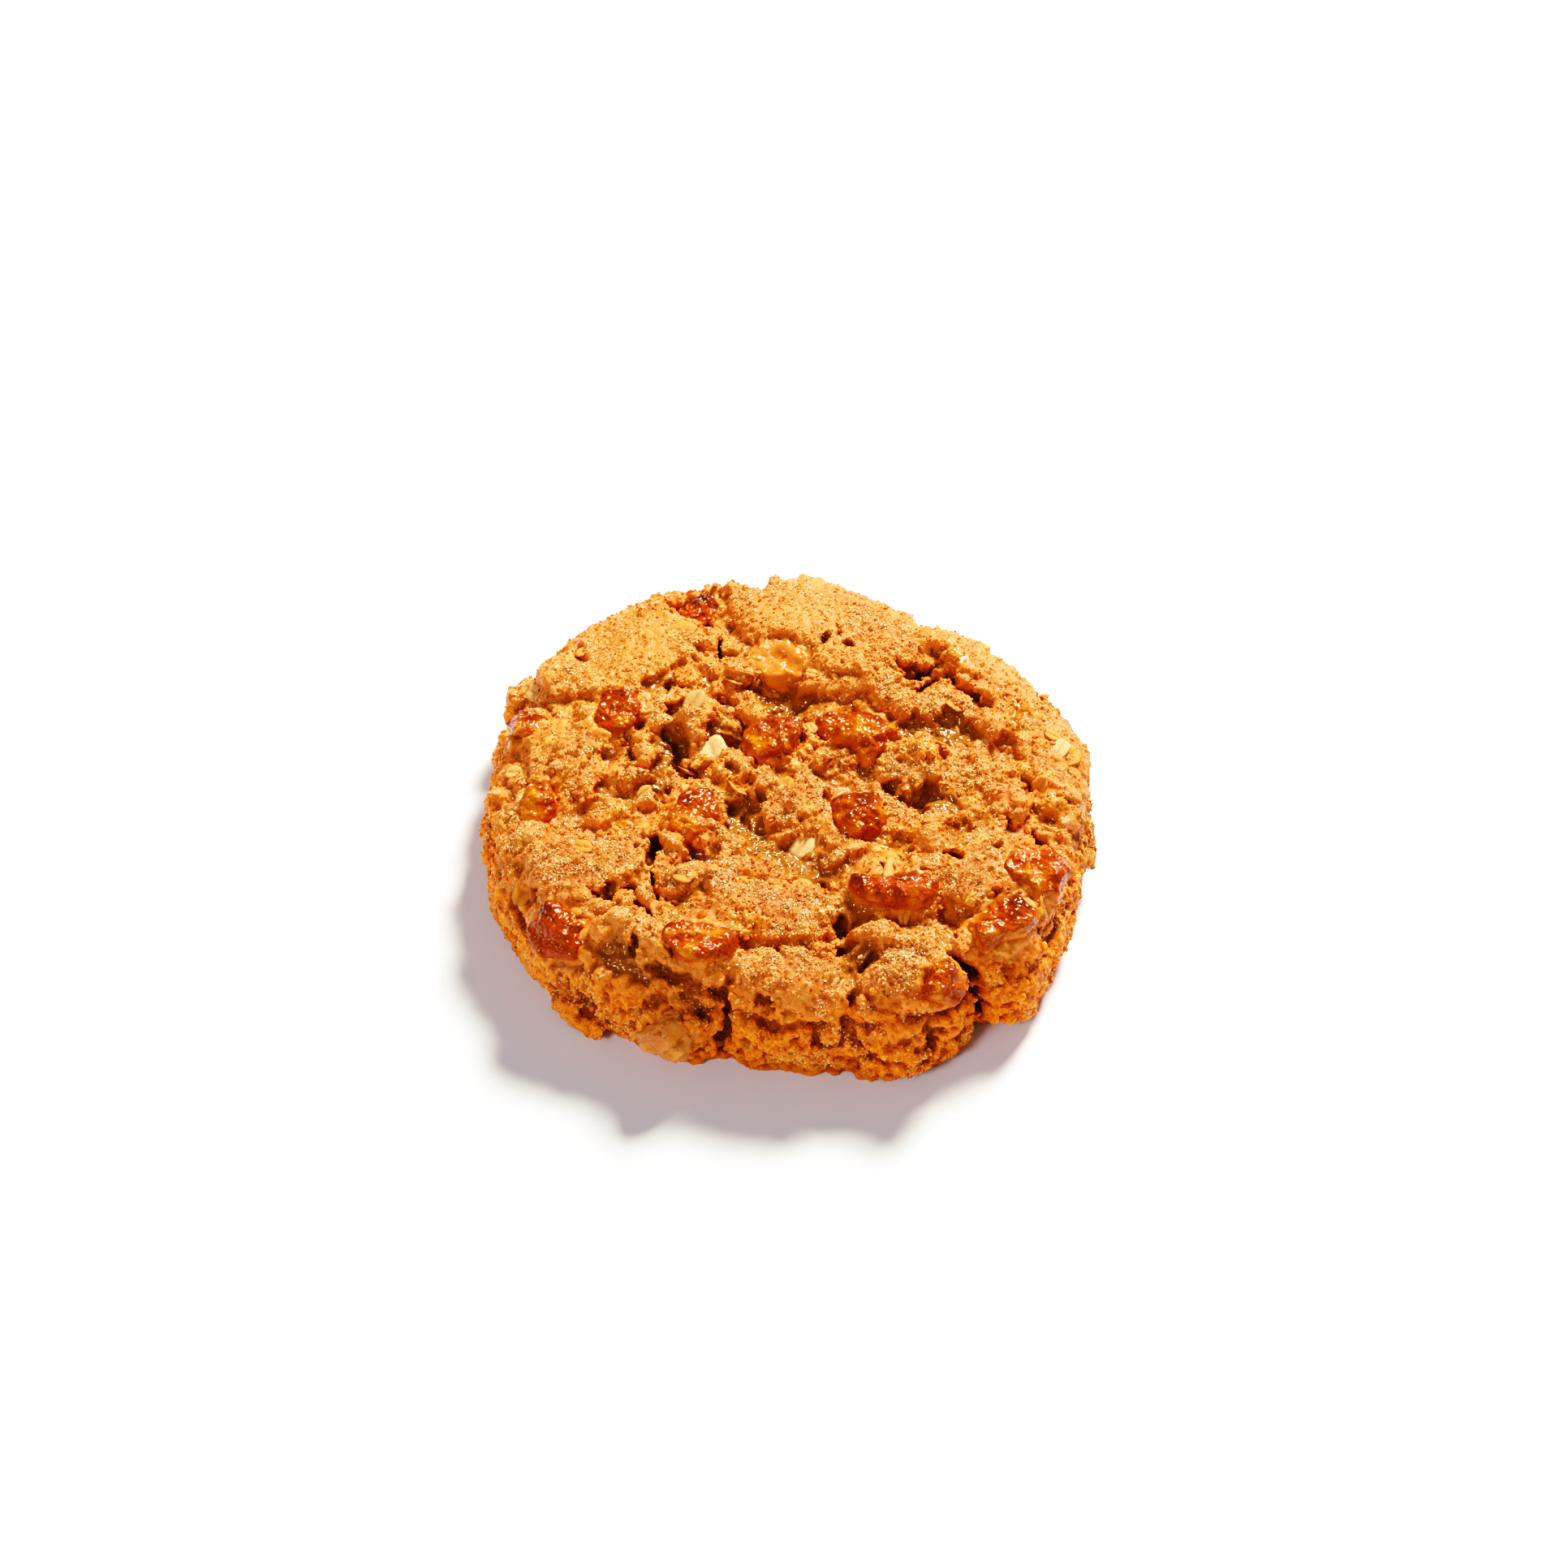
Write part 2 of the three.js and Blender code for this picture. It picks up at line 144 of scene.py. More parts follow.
def chance(i, j, k, seed):
    """A repeatable number from 0 to 1 for whole-number points: mix their bits with large odd numbers."""
    i, j, k = (np.asarray(v).astype(np.int64).astype(np.uint32) for v in (i, j, k))
    n = i * np.uint32(374761393) + j * np.uint32(668265263) + k * np.uint32(1440662683)
    n = n + np.uint32(seed * 974634777 % 2**32)
    n = (n ^ (n >> np.uint32(13))) * np.uint32(1274126177)
    return (n ^ (n >> np.uint32(16))) / 2.0**32


def smooth_noise(p, size, seed):
    """Noise from -1 to 1: random values at grid points, blended with an eased weight on each axis."""
    at = p / size
    base = np.floor(at)
    w = at - base
    w = w * w * (3 - 2 * w)
    total = np.zeros(len(p))
    for corner in range(8):
        bit = np.array([corner & 1, corner >> 1 & 1, corner >> 2])
        weight = np.where(bit, w, 1 - w).prod(axis=1)
        total += weight * chance(*(base + bit).T, seed)
    return 2 * total - 1


def cells(p, size, seed):
    """Squared distance to the nearest lump, and a random tint of that lump.

    Each cell of a grid holds one lump at a random place. Distances are in grid steps.
    """
    at = p / size
    base = np.floor(at)
    first = np.full(len(p), FAR)
    tint = np.zeros(len(p))
    for shift in np.ndindex(3, 3, 3):
        cell = base + np.array(shift) - 1
        place = np.stack([chance(*cell.T, seed + axis) for axis in range(3)], axis=1)
        away = ((cell + place - at) ** 2).sum(axis=1)
        closer = away < first
        tint = np.where(closer, chance(*cell.T, seed + 3), tint)
        first = np.where(closer, away, first)
    return first, tint


def lumps(p, size, seed):
    """Rounded lumps: 1 at a lump's middle, falling with the square of the distance."""
    return 1 - LUMP_FALL * cells(p, size, seed)[0]


def chunks(p, size, seed, sharp):
    """Broken chunks: each cell of a grid is a block with its own height and tilt, joined by thin cliffs.

    Gives the height, about -1 to 1, and how far a point is from the gap between two blocks.
    """
    at = p / size
    base = np.floor(at)
    first = np.full(len(p), FAR)
    second = np.full(len(p), FAR)
    total = np.zeros(len(p))
    weights = np.zeros(len(p))
    for shift in np.ndindex(3, 3, 3):
        cell = base + np.array(shift) - 1
        away = at - cell - np.stack([chance(*cell.T, seed + axis) for axis in range(3)], axis=1)
        square = (away**2).sum(axis=1)
        second = np.where(square < first, first, np.minimum(second, square))
        first = np.minimum(first, square)
        tilt = np.stack([chance(*cell.T, seed + 4 + axis) for axis in range(3)], axis=1) - 0.5
        weight = np.exp(-sharp * square)
        level = 2 * chance(*cell.T, seed + 3) - 1
        total += weight * (level + CHUNK_TILT * (away * tilt).sum(axis=1))
        weights += weight
    return total / weights, np.sqrt(second) - np.sqrt(first)


def step(value, low, high):
    """Smooth step from 0 below low to 1 above high."""
    t = np.clip((value - low) / (high - low), 0, 1)
    return t * t * (3 - 2 * t)


# %% [markdown]
# ## Slabs, cracks and hollows
#
# As the cookie spread, its skin set in smooth slabs that tore apart. Between them the crumb opened
# into cracks and hollows where the juice of the apple boiled. The lists give each in plan, in
# millimetres, and the same lists shape the solids.

# %% The lists in plan
SLABS = np.array([
    # x, y, half length, half width, turn, rise
    (-24, 25, 15, 8.5, 30, 1.5), (6, 30, 17, 9.5, -18, 1.8), (29, 22, 11, 4.5, -50, 1.2),
    (41, 4, 9, 5, -75, 1.0), (-32, -20, 10, 7, 15, 1.6), (-36, 3, 8, 6, 80, 0.8),
    (0, -6, 8, 6, 20, 1.6), (-4, -29, 14, 6.5, 5, 1.5), (0, -41, 11, 4.5, -4, 1.2),
    (18, -40, 10, 6.5, 14, 1.6), (28, -21, 12, 8, -22, 2.0), (18.5, 1, 5.5, 5, 0, 1.4),
])
CRACK_FOOT = 5.0
CRACK_CLOSE = 7.0
CRACKS = [
    # points, half width, depth, height of the foot on the side
    ([(-16, 37), (-12.5, 30), (-9.4, 24.5), (-7.5, 19)], 1.7, 4.5, CRACK_FOOT),
    ([(12, 18.5), (18, 20.5), (23, 21.5), (27, 18)], 1.8, 4.2, CRACK_FOOT),
    ([(-20, -11), (-21, -17), (-24, -22.5), (-30, -26)], 1.8, 5.0, CRACK_FOOT),
    ([(-27, -32), (-20, -37.5), (-11, -41), (-1, -45)], 1.7, 3.6, CRACK_FOOT),
    ([(-10.5, -41.5), (-10, -45.5), (-9.5, -47)], 1.7, 3.8, 0.0),
    ([(20, -33), (25, -35.5), (30, -40)], 1.8, 4.6, CRACK_FOOT),
    ([(36, -2), (38.5, -9), (39, -16)], 2.2, 4.8, CRACK_FOOT),
    ([(12, 3), (13.5, -3), (19, -6), (25, -4)], 1.7, 2.8, CRACK_FOOT),
    ([(14, 6.5), (20, 7.5), (25, 3.5)], 1.6, 2.6, CRACK_FOOT),
    ([(-9, -1), (-5.5, -7), (-4, -11)], 1.6, 3.4, CRACK_FOOT),
]
HOLLOWS = np.array([
    # x, y, radius, depth
    (4, 4, 17, 1.6), (-0.6, 15, 5.5, 2.4), (-7.5, 10, 3.2, 3.0), (-14.5, 2.5, 3.6, 2.8),
    (2.5, -16, 4.5, 2.2), (7.5, -32, 2.8, 3.2), (25.5, -13, 2.6, 3.0), (33, 4, 3.0, 2.4),
    (-39, -23, 2.4, 3.0), (-13, 32, 3.0, 2.4),
])
LUMP_SIZES = [(9.0, 1.9, 3), (4.6, 1.0, 7)]
SLAB_SMOOTH = 0.8


def stray(p, size, reach, seed):
    """Plan position of each point, pushed sideways by smooth noise so that edges wander."""
    push = [smooth_noise(p, size, seed + axis) for axis in range(2)]
    return p[:, :2] + reach * np.stack(push, axis=1)


def oval_cover(plan, oval, inner, outer):
    """1 inside an oval and 0 outside, with a slope between two shares of its radius."""
    turn = np.radians(oval[4])
    away = plan - oval[:2]
    along = away @ np.array([np.cos(turn), np.sin(turn)])
    across = away @ np.array([-np.sin(turn), np.cos(turn)])
    return 1 - step(np.hypot(along / oval[2], across / oval[3]), inner, outer)


def ovals_share(plan, ovals, inner, outer):
    """1 inside any oval of a list and 0 outside all of them, with the slope of a single oval."""
    share = np.zeros(len(plan))
    for oval in ovals:
        share = np.maximum(share, oval_cover(plan, oval, inner, outer))
    return share


def line_distance(plan, line):
    """Distance in plan to the nearest stretch of a line of points."""
    line = np.array(line, float)
    nearest = np.full(len(plan), np.inf)
    for start, end in zip(line[:-1], line[1:]):
        along = end - start
        share = np.clip((plan - start) @ along / (along @ along), 0, 1)
        nearest = np.minimum(nearest, np.hypot(*(plan - start - share[:, None] * along).T))
    return nearest


def main_relief(p):
    """How far the solids stand out of the plain round: slabs and lumps, less cracks and hollows."""
    plan = stray(p, 6, 1.5, 19)
    cover = np.zeros(len(p))
    rise = np.zeros(len(p))
    for slab in SLABS:
        here = oval_cover(plan, slab, 0.78, 1.08)
        cover = np.maximum(cover, here)
        rise = np.maximum(rise, here * slab[5])
    for size, height, seed in LUMP_SIZES:
        rise += height * lumps(p, size, seed) * (1 - SLAB_SMOOTH * cover)
    cut = np.zeros(len(p))
    for line, wide, deep, foot in CRACKS:
        opening = step(p[:, 2], foot - CRACK_CLOSE / 2, foot + CRACK_CLOSE / 2)
        cut += deep * opening * np.exp(-((line_distance(plan, line) / wide) ** 2))
    for x, y, wide, deep in HOLLOWS:
        cut += deep * np.exp(-(((plan - (x, y)) ** 2).sum(axis=1)) / wide**2)
    return rise - cut


def fade_to_foot(reach):
    """1 over the top and side, easing to 0 at the foot of the side so that the base stays flat."""
    return 1 - step(reach, 1.6, 2.0)


def skin(angle, reach):
    """Points of the solids' skin, the way it faces and its height over the plain round."""
    point, facing = plain_skin(angle, reach)
    rise = main_relief(point) * fade_to_foot(reach)
    return point + facing * rise[:, None], facing, rise


def reach_of(x, y):
    """Reach of places given in plan, on the top or on the upper half of the side."""
    flat = outline(np.arctan2(y, x)) - SHOULDER
    radius = np.hypot(x, y)
    swing = np.arccos(np.clip((radius - flat) / SHOULDER, 0, 1))
    return np.where(radius <= flat, radius / flat, 1.5 - swing / np.pi)


# %% [markdown]
# ## Where the apple sits
#
# The dice of apple were stirred into the dough, so the dough has a pocket for each and stands up
# around it in a torn collar. Their places come first, because the dough needs them. Some dice are redder
# than others, which a second list gives.

# %% Places of the dice
DICE = [
    # x, y or side angle, height; then length, width, depth, turn and the share that stands out
    ("top", -27, 10, 9, 7.6, 7, 70, 0.26), ("top", 10, 7.2, 11, 9.4, 8, -30, 0.32),
    ("top", -1, 4.2, 8.6, 7.4, 7, 15, 0.3), ("top", 10.5, -10, 8.4, 7.6, 7, 20, 0.28),
    ("top", -15, -10.5, 8, 7, 6, 60, 0.25), ("top", 15.6, -25.5, 11.5, 6.6, 6.5, 4, 0.3),
    ("top", 31, -31, 10, 6.6, 6, 35, 0.28), ("top", 36.5, -21, 8, 7.4, 6, -40, 0.26),
    ("top", 21.5, -41, 6.6, 5.6, 5.5, 65, 0.28), ("top", -13.5, -35.5, 9.6, 6.8, 6, 8, 0.3),
    ("top", -35, -30, 9.6, 6.8, 6, -35, 0.3), ("top", -2, 22.5, 8.4, 6.4, 6, -10, 0.2),
    ("top", -38, -5, 7, 6, 5.5, 40, 0.26), ("top", -41, 10, 6.6, 6, 5.5, 85, 0.25),
    ("top", -14.5, 36, 7.6, 6.4, 6, 25, 0.25), ("side", 248, 9, 7.6, 7, 6, 30, 0.16),
    ("side", 20, 8, 8.4, 7, 6.5, -20, 0.2), ("side", 84, 9, 9, 7, 6.5, 15, 0.2),
    ("side", 152, 7, 8.4, 6.6, 6, -35, 0.2),
]
DICE_REACH = 0.57
DICE_RED = [
    1.1, 0.1, 0.5, 0.6, 1.2, 1.2, 0.6, 0.2, 0.7, 0.7,
    1.1, 0.5, 0.5, 0.6, 0.8, 0.5, 0.4, 0.6, 0.5,
]
COLLAR_HEIGHT = 0.8
POCKET_DEPTH = 0.9


def place_on_skin(where, first, second):
    """Point, facing and height of a place given in plan on the top, or by angle and height on the side."""
    if where == "top":
        x, y = np.array([float(first)]), np.array([float(second)])
        angle, reach = np.arctan2(y, x), reach_of(x, y)
    else:
        span = HEIGHT - DOME - WAIST if second > WAIST else WAIST
        angle = np.radians([float(first)])
        reach = np.array([1.5 - np.arcsin((second - WAIST) / span) / np.pi])
    point, facing, rise = skin(angle, reach)
    return point[0], facing[0], rise[0]


def lie_on(facing, turn):
    """Matrix that turns a piece about its own up axis, then tips that axis onto the facing."""
    tip = np.array(Vector((0, 0, 1)).rotation_difference(Vector(facing)).to_matrix())
    c, s = np.cos(np.radians(turn)), np.sin(np.radians(turn))
    return tip @ np.array([[c, -s, 0], [s, c, 0], [0, 0, 1]])


DICE_PLACE = [place_on_skin(*dice[:3]) for dice in DICE]


def seat_dice(p, rise):
    """Relief with a seat for each dice: the solids' own height round it, a pocket and a torn collar.

    Also gives a halo, 1 at each dice and 0 a few millimetres away, where its juice soaked the dough.
    """
    tear = 0.5 + 0.8 * smooth_noise(p, 3.0, 201)
    halo = np.zeros(len(p))
    for row, (point, facing, level) in zip(DICE, DICE_PLACE):
        long, wide, deep, turn = row[3:7]
        own = (p - point) @ lie_on(facing, turn) / (0.5 * np.array([long, wide, 2.4 * deep]))
        ring = np.hypot(own[:, 0], own[:, 1])
        near = np.exp(-own[:, 2] ** 4)
        rise = rise + (level - rise) * 0.7 * near * (1 - step(ring, 1.0, 1.7))
        collar = COLLAR_HEIGHT * tear * np.exp(-(((ring - 1.02) / 0.2) ** 2))
        rise += near * (collar - POCKET_DEPTH * (1 - step(ring, 0.5, 0.95)))
        halo = np.maximum(halo, near * (1 - step(ring + 0.3 * tear, 1.0, 1.75)))
    return rise, halo


print("dice of apple:", len(DICE))

# %% [markdown]
# ## The grid of the dough
#
# A round grid with a pole crowds its points in the middle. Here a square grid is bent into a disc
# instead: each square ring becomes a ring of the cookie, so the points keep an even spacing of about
# 0.25 mm. The side continues the last ring downwards and the base closes it. The top and the side
# become two pieces that share this ring, so that each mesh stays small enough to handle, and a hidden
# wall and floor inside close each of them.

# %% Grid positions and faces
TOP_STEPS = 310
SIDE_STEPS = 74
BASE_STEPS = 3


def strip_quads(rows):
    """Quads between each closed row of points and the next row."""
    nxt = np.roll(rows, -1, axis=1)
    return np.stack([rows[:-1], rows[1:], nxt[1:], nxt[:-1]], axis=-1).reshape(-1, 4)


def fan_triangles(row, middle):
    """Triangles that join a closed row of points to one middle point."""
    return np.stack([row, np.full(len(row), middle), np.roll(row, -1)], axis=-1)


def dough_grid():
    """Angle and reach of every point of the skin, quads of top and side, base triangles, shared ring."""
    line = np.linspace(-1, 1, TOP_STEPS + 1)
    s, t = (v.ravel() for v in np.meshgrid(line, line))
    ring = np.maximum(abs(s), abs(t))
    safe = np.where(ring == 0, 1, ring)
    on_x = abs(s) >= abs(t)
    sideways = np.where(on_x, t * np.sign(s), -s * np.sign(t)) / safe
    quarter = np.where(on_x, np.where(s >= 0, 0, np.pi), np.sign(t) * np.pi / 2)
    angle = quarter + sideways * np.pi / 4
    index = np.arange(len(s)).reshape(TOP_STEPS + 1, TOP_STEPS + 1)
    loop = np.concatenate([index[:-1, -1], index[-1, :0:-1], index[:0:-1, 0], index[0, :-1]])
    rows = np.concatenate([
        np.linspace(1, 2, SIDE_STEPS + 1)[1:], np.linspace(2, 3, BASE_STEPS + 1)[1:-1]])
    below = len(s) + np.arange(len(rows) * len(loop)).reshape(len(rows), len(loop))
    every_angle = np.concatenate([angle, np.tile(angle[loop], len(rows)), [0.0]])
    every_reach = np.concatenate([ring, np.repeat(rows, len(loop)), [3.0]])
    top = np.stack([index[:-1, :-1], index[:-1, 1:], index[1:, 1:], index[1:, :-1]], axis=-1)
    strip = np.concatenate([loop[None], below])
    fan = fan_triangles(strip[-1], len(every_angle) - 1)
    return every_angle, every_reach, top.reshape(-1, 4), strip_quads(strip), fan, loop


dough_angle, dough_reach, top_quads, side_quads, base_fan, shared_ring = dough_grid()
dough_quads = np.concatenate([top_quads, side_quads])
print("dough points:", len(dough_angle), "quads:", len(dough_quads))

# %% [markdown]
# ## The crumb of the dough
#
# Over the slabs come the things that only a fine grid can show. Small knobs of dough stand between the
# slabs, all rims are frayed, and the crumb is broken into chunks of every size. Steep holes open where
# steam boiled out, juice levelled the low places into pools, and each dice of apple has its seat. The
# heights are summed along the skin's facing and smoothed a little, then rims lean out over their cracks.

# %% Knobs, holes and pools in plan
KNOBS = np.array([
    # x, y, half length, half width, turn, rise
    (-12.5, 9.5, 5.0, 4.2, 60, 1.4), (-33, 4.5, 6.0, 5.0, 30, 0.9), (23, 12.5, 11, 3.6, -8, 1.0),
    (-21.5, 2.5, 2.6, 2.4, 0, 1.1), (-22, -6.5, 3.0, 2.4, 40, 1.0), (-27.5, -8.5, 4.0, 2.6, 20, 0.8),
    (-8, -1.0, 3.6, 3.2, 0, 1.2), (-17.5, -16.5, 2.6, 1.8, -30, 1.3), (-12, -22, 7.5, 3.2, 8, 1.1),
    (-26.8, -31.5, 2.8, 2.2, 0, 1.3), (-19.5, -33.5, 2.6, 2.4, 0, 1.1), (24, -15, 10, 3.0, 18, 1.3),
    (14, -34, 6.5, 4.2, 10, 1.0), (-2, -31, 6.0, 5.0, 0, 0.9), (8, -17.5, 4.6, 1.6, 5, 0.9),
    (3.5, 12.5, 3.0, 2.6, 0, 1.0), (-6, 13.5, 3.0, 2.4, 40, 0.8), (34, -7.5, 3.6, 3.0, 60, 0.9),
    (-38, -12, 3.4, 2.6, 50, 0.8), (25.5, 23.5, 7.5, 2.4, -48, 1.4), (19.5, 3, 4.6, 3.8, 10, 1.6),
    (-6, -32, 2.4, 1.8, 30, 1.2), (24.5, -25, 7.0, 4.6, 0, 0.7), (31, 8, 3.4, 2.4, -20, 0.9),
    (10, 17, 9.5, 6.0, -10, 1.6),
])
HOLES = np.array([
    # x, y, half length, half width, turn, depth
    (-33, 25.2, 2.2, 0.6, 95, 1.6), (-17, 35, 2.4, 1.3, -10, 2.4), (-15.5, 36.5, 1.2, 0.7, 80, 2.2),
    (-13.3, 32, 0.9, 0.6, 30, 1.8), (-15.2, 30.8, 0.6, 0.5, 0, 1.2), (-13.4, 28.4, 1.2, 0.6, -30, 1.6),
    (-10.2, 26, 1.8, 0.6, 100, 3.0), (-9.8, 23.6, 1.3, 0.8, 80, 3.4), (-14.6, 22, 0.7, 0.5, 0, 1.2),
    (-18.8, 15.8, 0.9, 0.7, 0, 1.8), (-32.8, 9, 1.2, 0.6, -30, 1.6), (-8, 6.5, 1.9, 1.6, 20, 3.4),
    (-3.2, 20.3, 2.2, 0.9, 0, 2.6), (6.5, 24, 1.7, 0.7, 90, 2.2), (8.3, 25.8, 0.9, 0.5, 90, 1.4),
    (10.6, 23.6, 0.9, 0.7, 0, 1.8), (22, 18, 3.0, 1.6, 10, 4.6), (18.8, 19, 1.6, 1.0, 20, 2.6),
    (28.5, 16.5, 1.4, 0.6, 0, 1.8), (17.8, 7.8, 2.2, 0.9, 10, 2.0), (14.2, 17, 1.0, 0.5, 100, 1.2),
    (-17.5, 5, 3.4, 1.0, 110, 2.4), (-15.5, 0, 2.6, 1.5, -40, 3.6), (-24, 4.5, 1.3, 0.8, 60, 2.0),
    (-22.5, 9, 1.6, 0.8, 100, 2.0), (-19.5, -5, 2.2, 1.2, 20, 2.2), (-35, -14, 1.6, 0.7, 30, 1.6),
    (-31.5, -13, 0.8, 0.6, 60, 1.4), (-20.6, -18.5, 2.2, 0.7, 75, 3.6), (-20.4, -23.5, 2.4, 0.9, 95, 3.8),
    (-24.7, -25.5, 1.0, 0.7, 0, 3.0), (-22.8, -28, 1.6, 1.3, 90, 4.6), (-27.8, -26, 1.3, 1.1, 0, 3.2),
    (-31, -29.7, 2.2, 0.7, 10, 2.6), (-38.5, -23.5, 1.4, 0.8, 120, 2.4), (-6, -9.5, 2.4, 1.1, 110, 3.0),
    (-13.5, -15.5, 2.0, 0.7, -20, 1.8), (6.2, -4.7, 1.0, 0.5, 0, 1.6), (19.5, -4, 2.4, 1.6, -10, 2.4),
    (16.5, -16.5, 1.0, 0.7, 0, 1.8), (25.3, -19.2, 1.6, 1.3, 0, 4.0), (32.4, -19, 0.8, 0.7, 0, 1.2),
    (38, -13, 2.9, 1.6, -60, 5.0), (33.5, -10.5, 1.2, 0.5, 90, 1.4), (8, -35, 1.6, 1.1, 10, 3.4),
    (7, -29.5, 2.0, 1.0, 90, 2.4), (10.5, -38, 1.6, 0.8, 70, 2.2), (9.5, -42.5, 1.6, 0.8, 40, 2.4),
    (26, -37, 3.2, 1.3, -10, 5.0), (5, -22, 1.4, 0.7, 90, 2.0), (15, -21.5, 1.6, 0.6, -30, 1.6),
    (-9, -37, 3.2, 0.7, 5, 2.2), (-22.5, -35.5, 2.0, 0.9, -50, 2.6), (-28.5, -36.4, 0.9, 0.7, 0, 2.0),
])
SLAB_EVENNESS = np.array([0.85, 0.85, 0.75, 0.7, 0.6, 0.5, 0.4, 0.5, 0.45, 0.4, 0.4, 0.3])
CHUNK_SCALES = [
    # size, height, depth of the gaps, sharpness, seed
    (7.2, 1.15, 0.45, 14, 3), (3.4, 0.55, 0.15, 9, 7), (1.8, 0.24, 0.0, 6, 11),
]
POOLS = np.array([
    # x, y, half length, half width, turn
    (-1.5, 16, 4.6, 3.0, 20), (3, -18.5, 7.0, 3.8, -15), (17, 8, 5.4, 2.4, 10), (20, -5, 5.4, 3.0, -10),
    (-5.5, -12, 5.4, 2.8, 110), (9, -29, 3.4, 2.8, 0), (-18.5, 3, 6.0, 3.2, 75), (-21, -4.5, 4.8, 2.6, 20),
    (25, 8.5, 4.4, 2.6, -20), (-24, -37.5, 5.0, 1.8, -35), (-9, 6.5, 4.4, 3.2, 30), (10, -38, 3.2, 2.2, 70),
    (-16, 12, 3.0, 2.0, 40), (28, -13, 3.6, 2.0, 10), (1, 13.5, 4.5, 3.0, 0), (-26, 7.5, 2.6, 2.0, 90),
])
POOL_DEPTH = 1.3
POOL_SLOPE = (0.6, 1.3)
# Heights in mm between which the rough wall gives way to the top.
WALL_TOP = (11, 16)
SLIT_DEPTH = 1.6
SLIT_STRETCH = (1, 1, 2.4)
LEDGE_HEIGHT = 12.2
LEDGE_DEPTH = 1.9
PORE_SIZES = [
    # size, depth, seed
    (2.3, 0.45, 221), (1.5, 0.35, 231),
]
# The way to the key lamp in plan.
LAMP_X, LAMP_Y = 0.47, 0.88
FINE_CHUNK = 0.27
FINE_NOISE = 0.15
# In this skin the second crack begins at its second point.
TORN_LINES = [CRACKS[0], (CRACKS[1][0][1:], *CRACKS[1][1:]), *CRACKS[2:]]
SIDE_TRIM = 0.5
print("knobs:", len(KNOBS), "holes:", len(HOLES), "pools:", len(POOLS))

# %% Relief functions


def pushed(p, size, reach, seed):
    """Points pushed about in space by smooth noise."""
    push = [smooth_noise(p, size, seed + axis) for axis in range(3)]
    return p + reach * np.stack(push, axis=1)


def frayed_plan(p):
    """Plan position of each point, pushed about at three sizes so that rims are ragged."""
    return stray(p, 6, 1.5, 19) + stray(p, 2.4, 0.8, 51) + stray(p, 1.1, 0.4, 57) - 2 * p[:, :2]


def mound_relief(p, plan, pool):
    """Soft height over the plain round: slabs, knobs, broken chunks of three sizes and broad hollows.

    Also gives how much slab or knob covers a point, and how even that slab is.
    """
    cover = np.zeros(len(p))
    even = np.zeros(len(p))
    rise = np.zeros(len(p))
    for slab, evenness in zip(SLABS, SLAB_EVENNESS):
        here = oval_cover(plan, slab, 0.86, 1.04)
        cover = np.maximum(cover, here)
        even = np.maximum(even, evenness * oval_cover(plan, slab, 0.6, 1.04))
        rise = np.maximum(rise, slab[5] * (0.8 * here + 0.4 * oval_cover(plan, slab, 0.0, 1.05)))
    for knob in KNOBS:
        here = oval_cover(plan, knob, 0.7, 1.05)
        cover = np.maximum(cover, 0.8 * here)
        even = np.maximum(even, 0.35 * here)
        rise = np.maximum(rise, knob[5] * (here + 0.9 * oval_cover(plan, knob, 0.0, 1.05)))
    bent = pushed(p, 4.0, 1.1, 111) + pushed(p, 1.5, 0.4, 117) - p
    wall = 1 - step(p[:, 2], *WALL_TOP)
    rough = (1 - even * (1 - wall)) * (1 - 0.75 * pool)
    open_gaps = step(smooth_noise(p, 7, 141), -0.3, 0.5) * (1 - 0.7 * cover * (1 - wall))
    for size, height, gap_depth, sharp, seed in CHUNK_SCALES:
        height_here, gap = chunks(bent, size, seed, sharp)
        rise += height * height_here * rough * (1 - 0.4 * wall * (size < 5))
        rise -= gap_depth * open_gaps * (1 - step(gap, 0.0, 0.16))
    for x, y, wide, deep in HOLLOWS:
        rise -= 0.75 * deep * np.exp(-(((plan - (x, y)) ** 2).sum(axis=1)) / wide**2)
    return rise - POOL_DEPTH * pool, cover, even


def lamp_side(p):
    """1 on the back and right of the cookie, which face the lamp, easing to 0 towards the front and left."""
    return step((LAMP_X * p[:, 0] + LAMP_Y * p[:, 1]) / RADIUS, -0.3, 0.5)


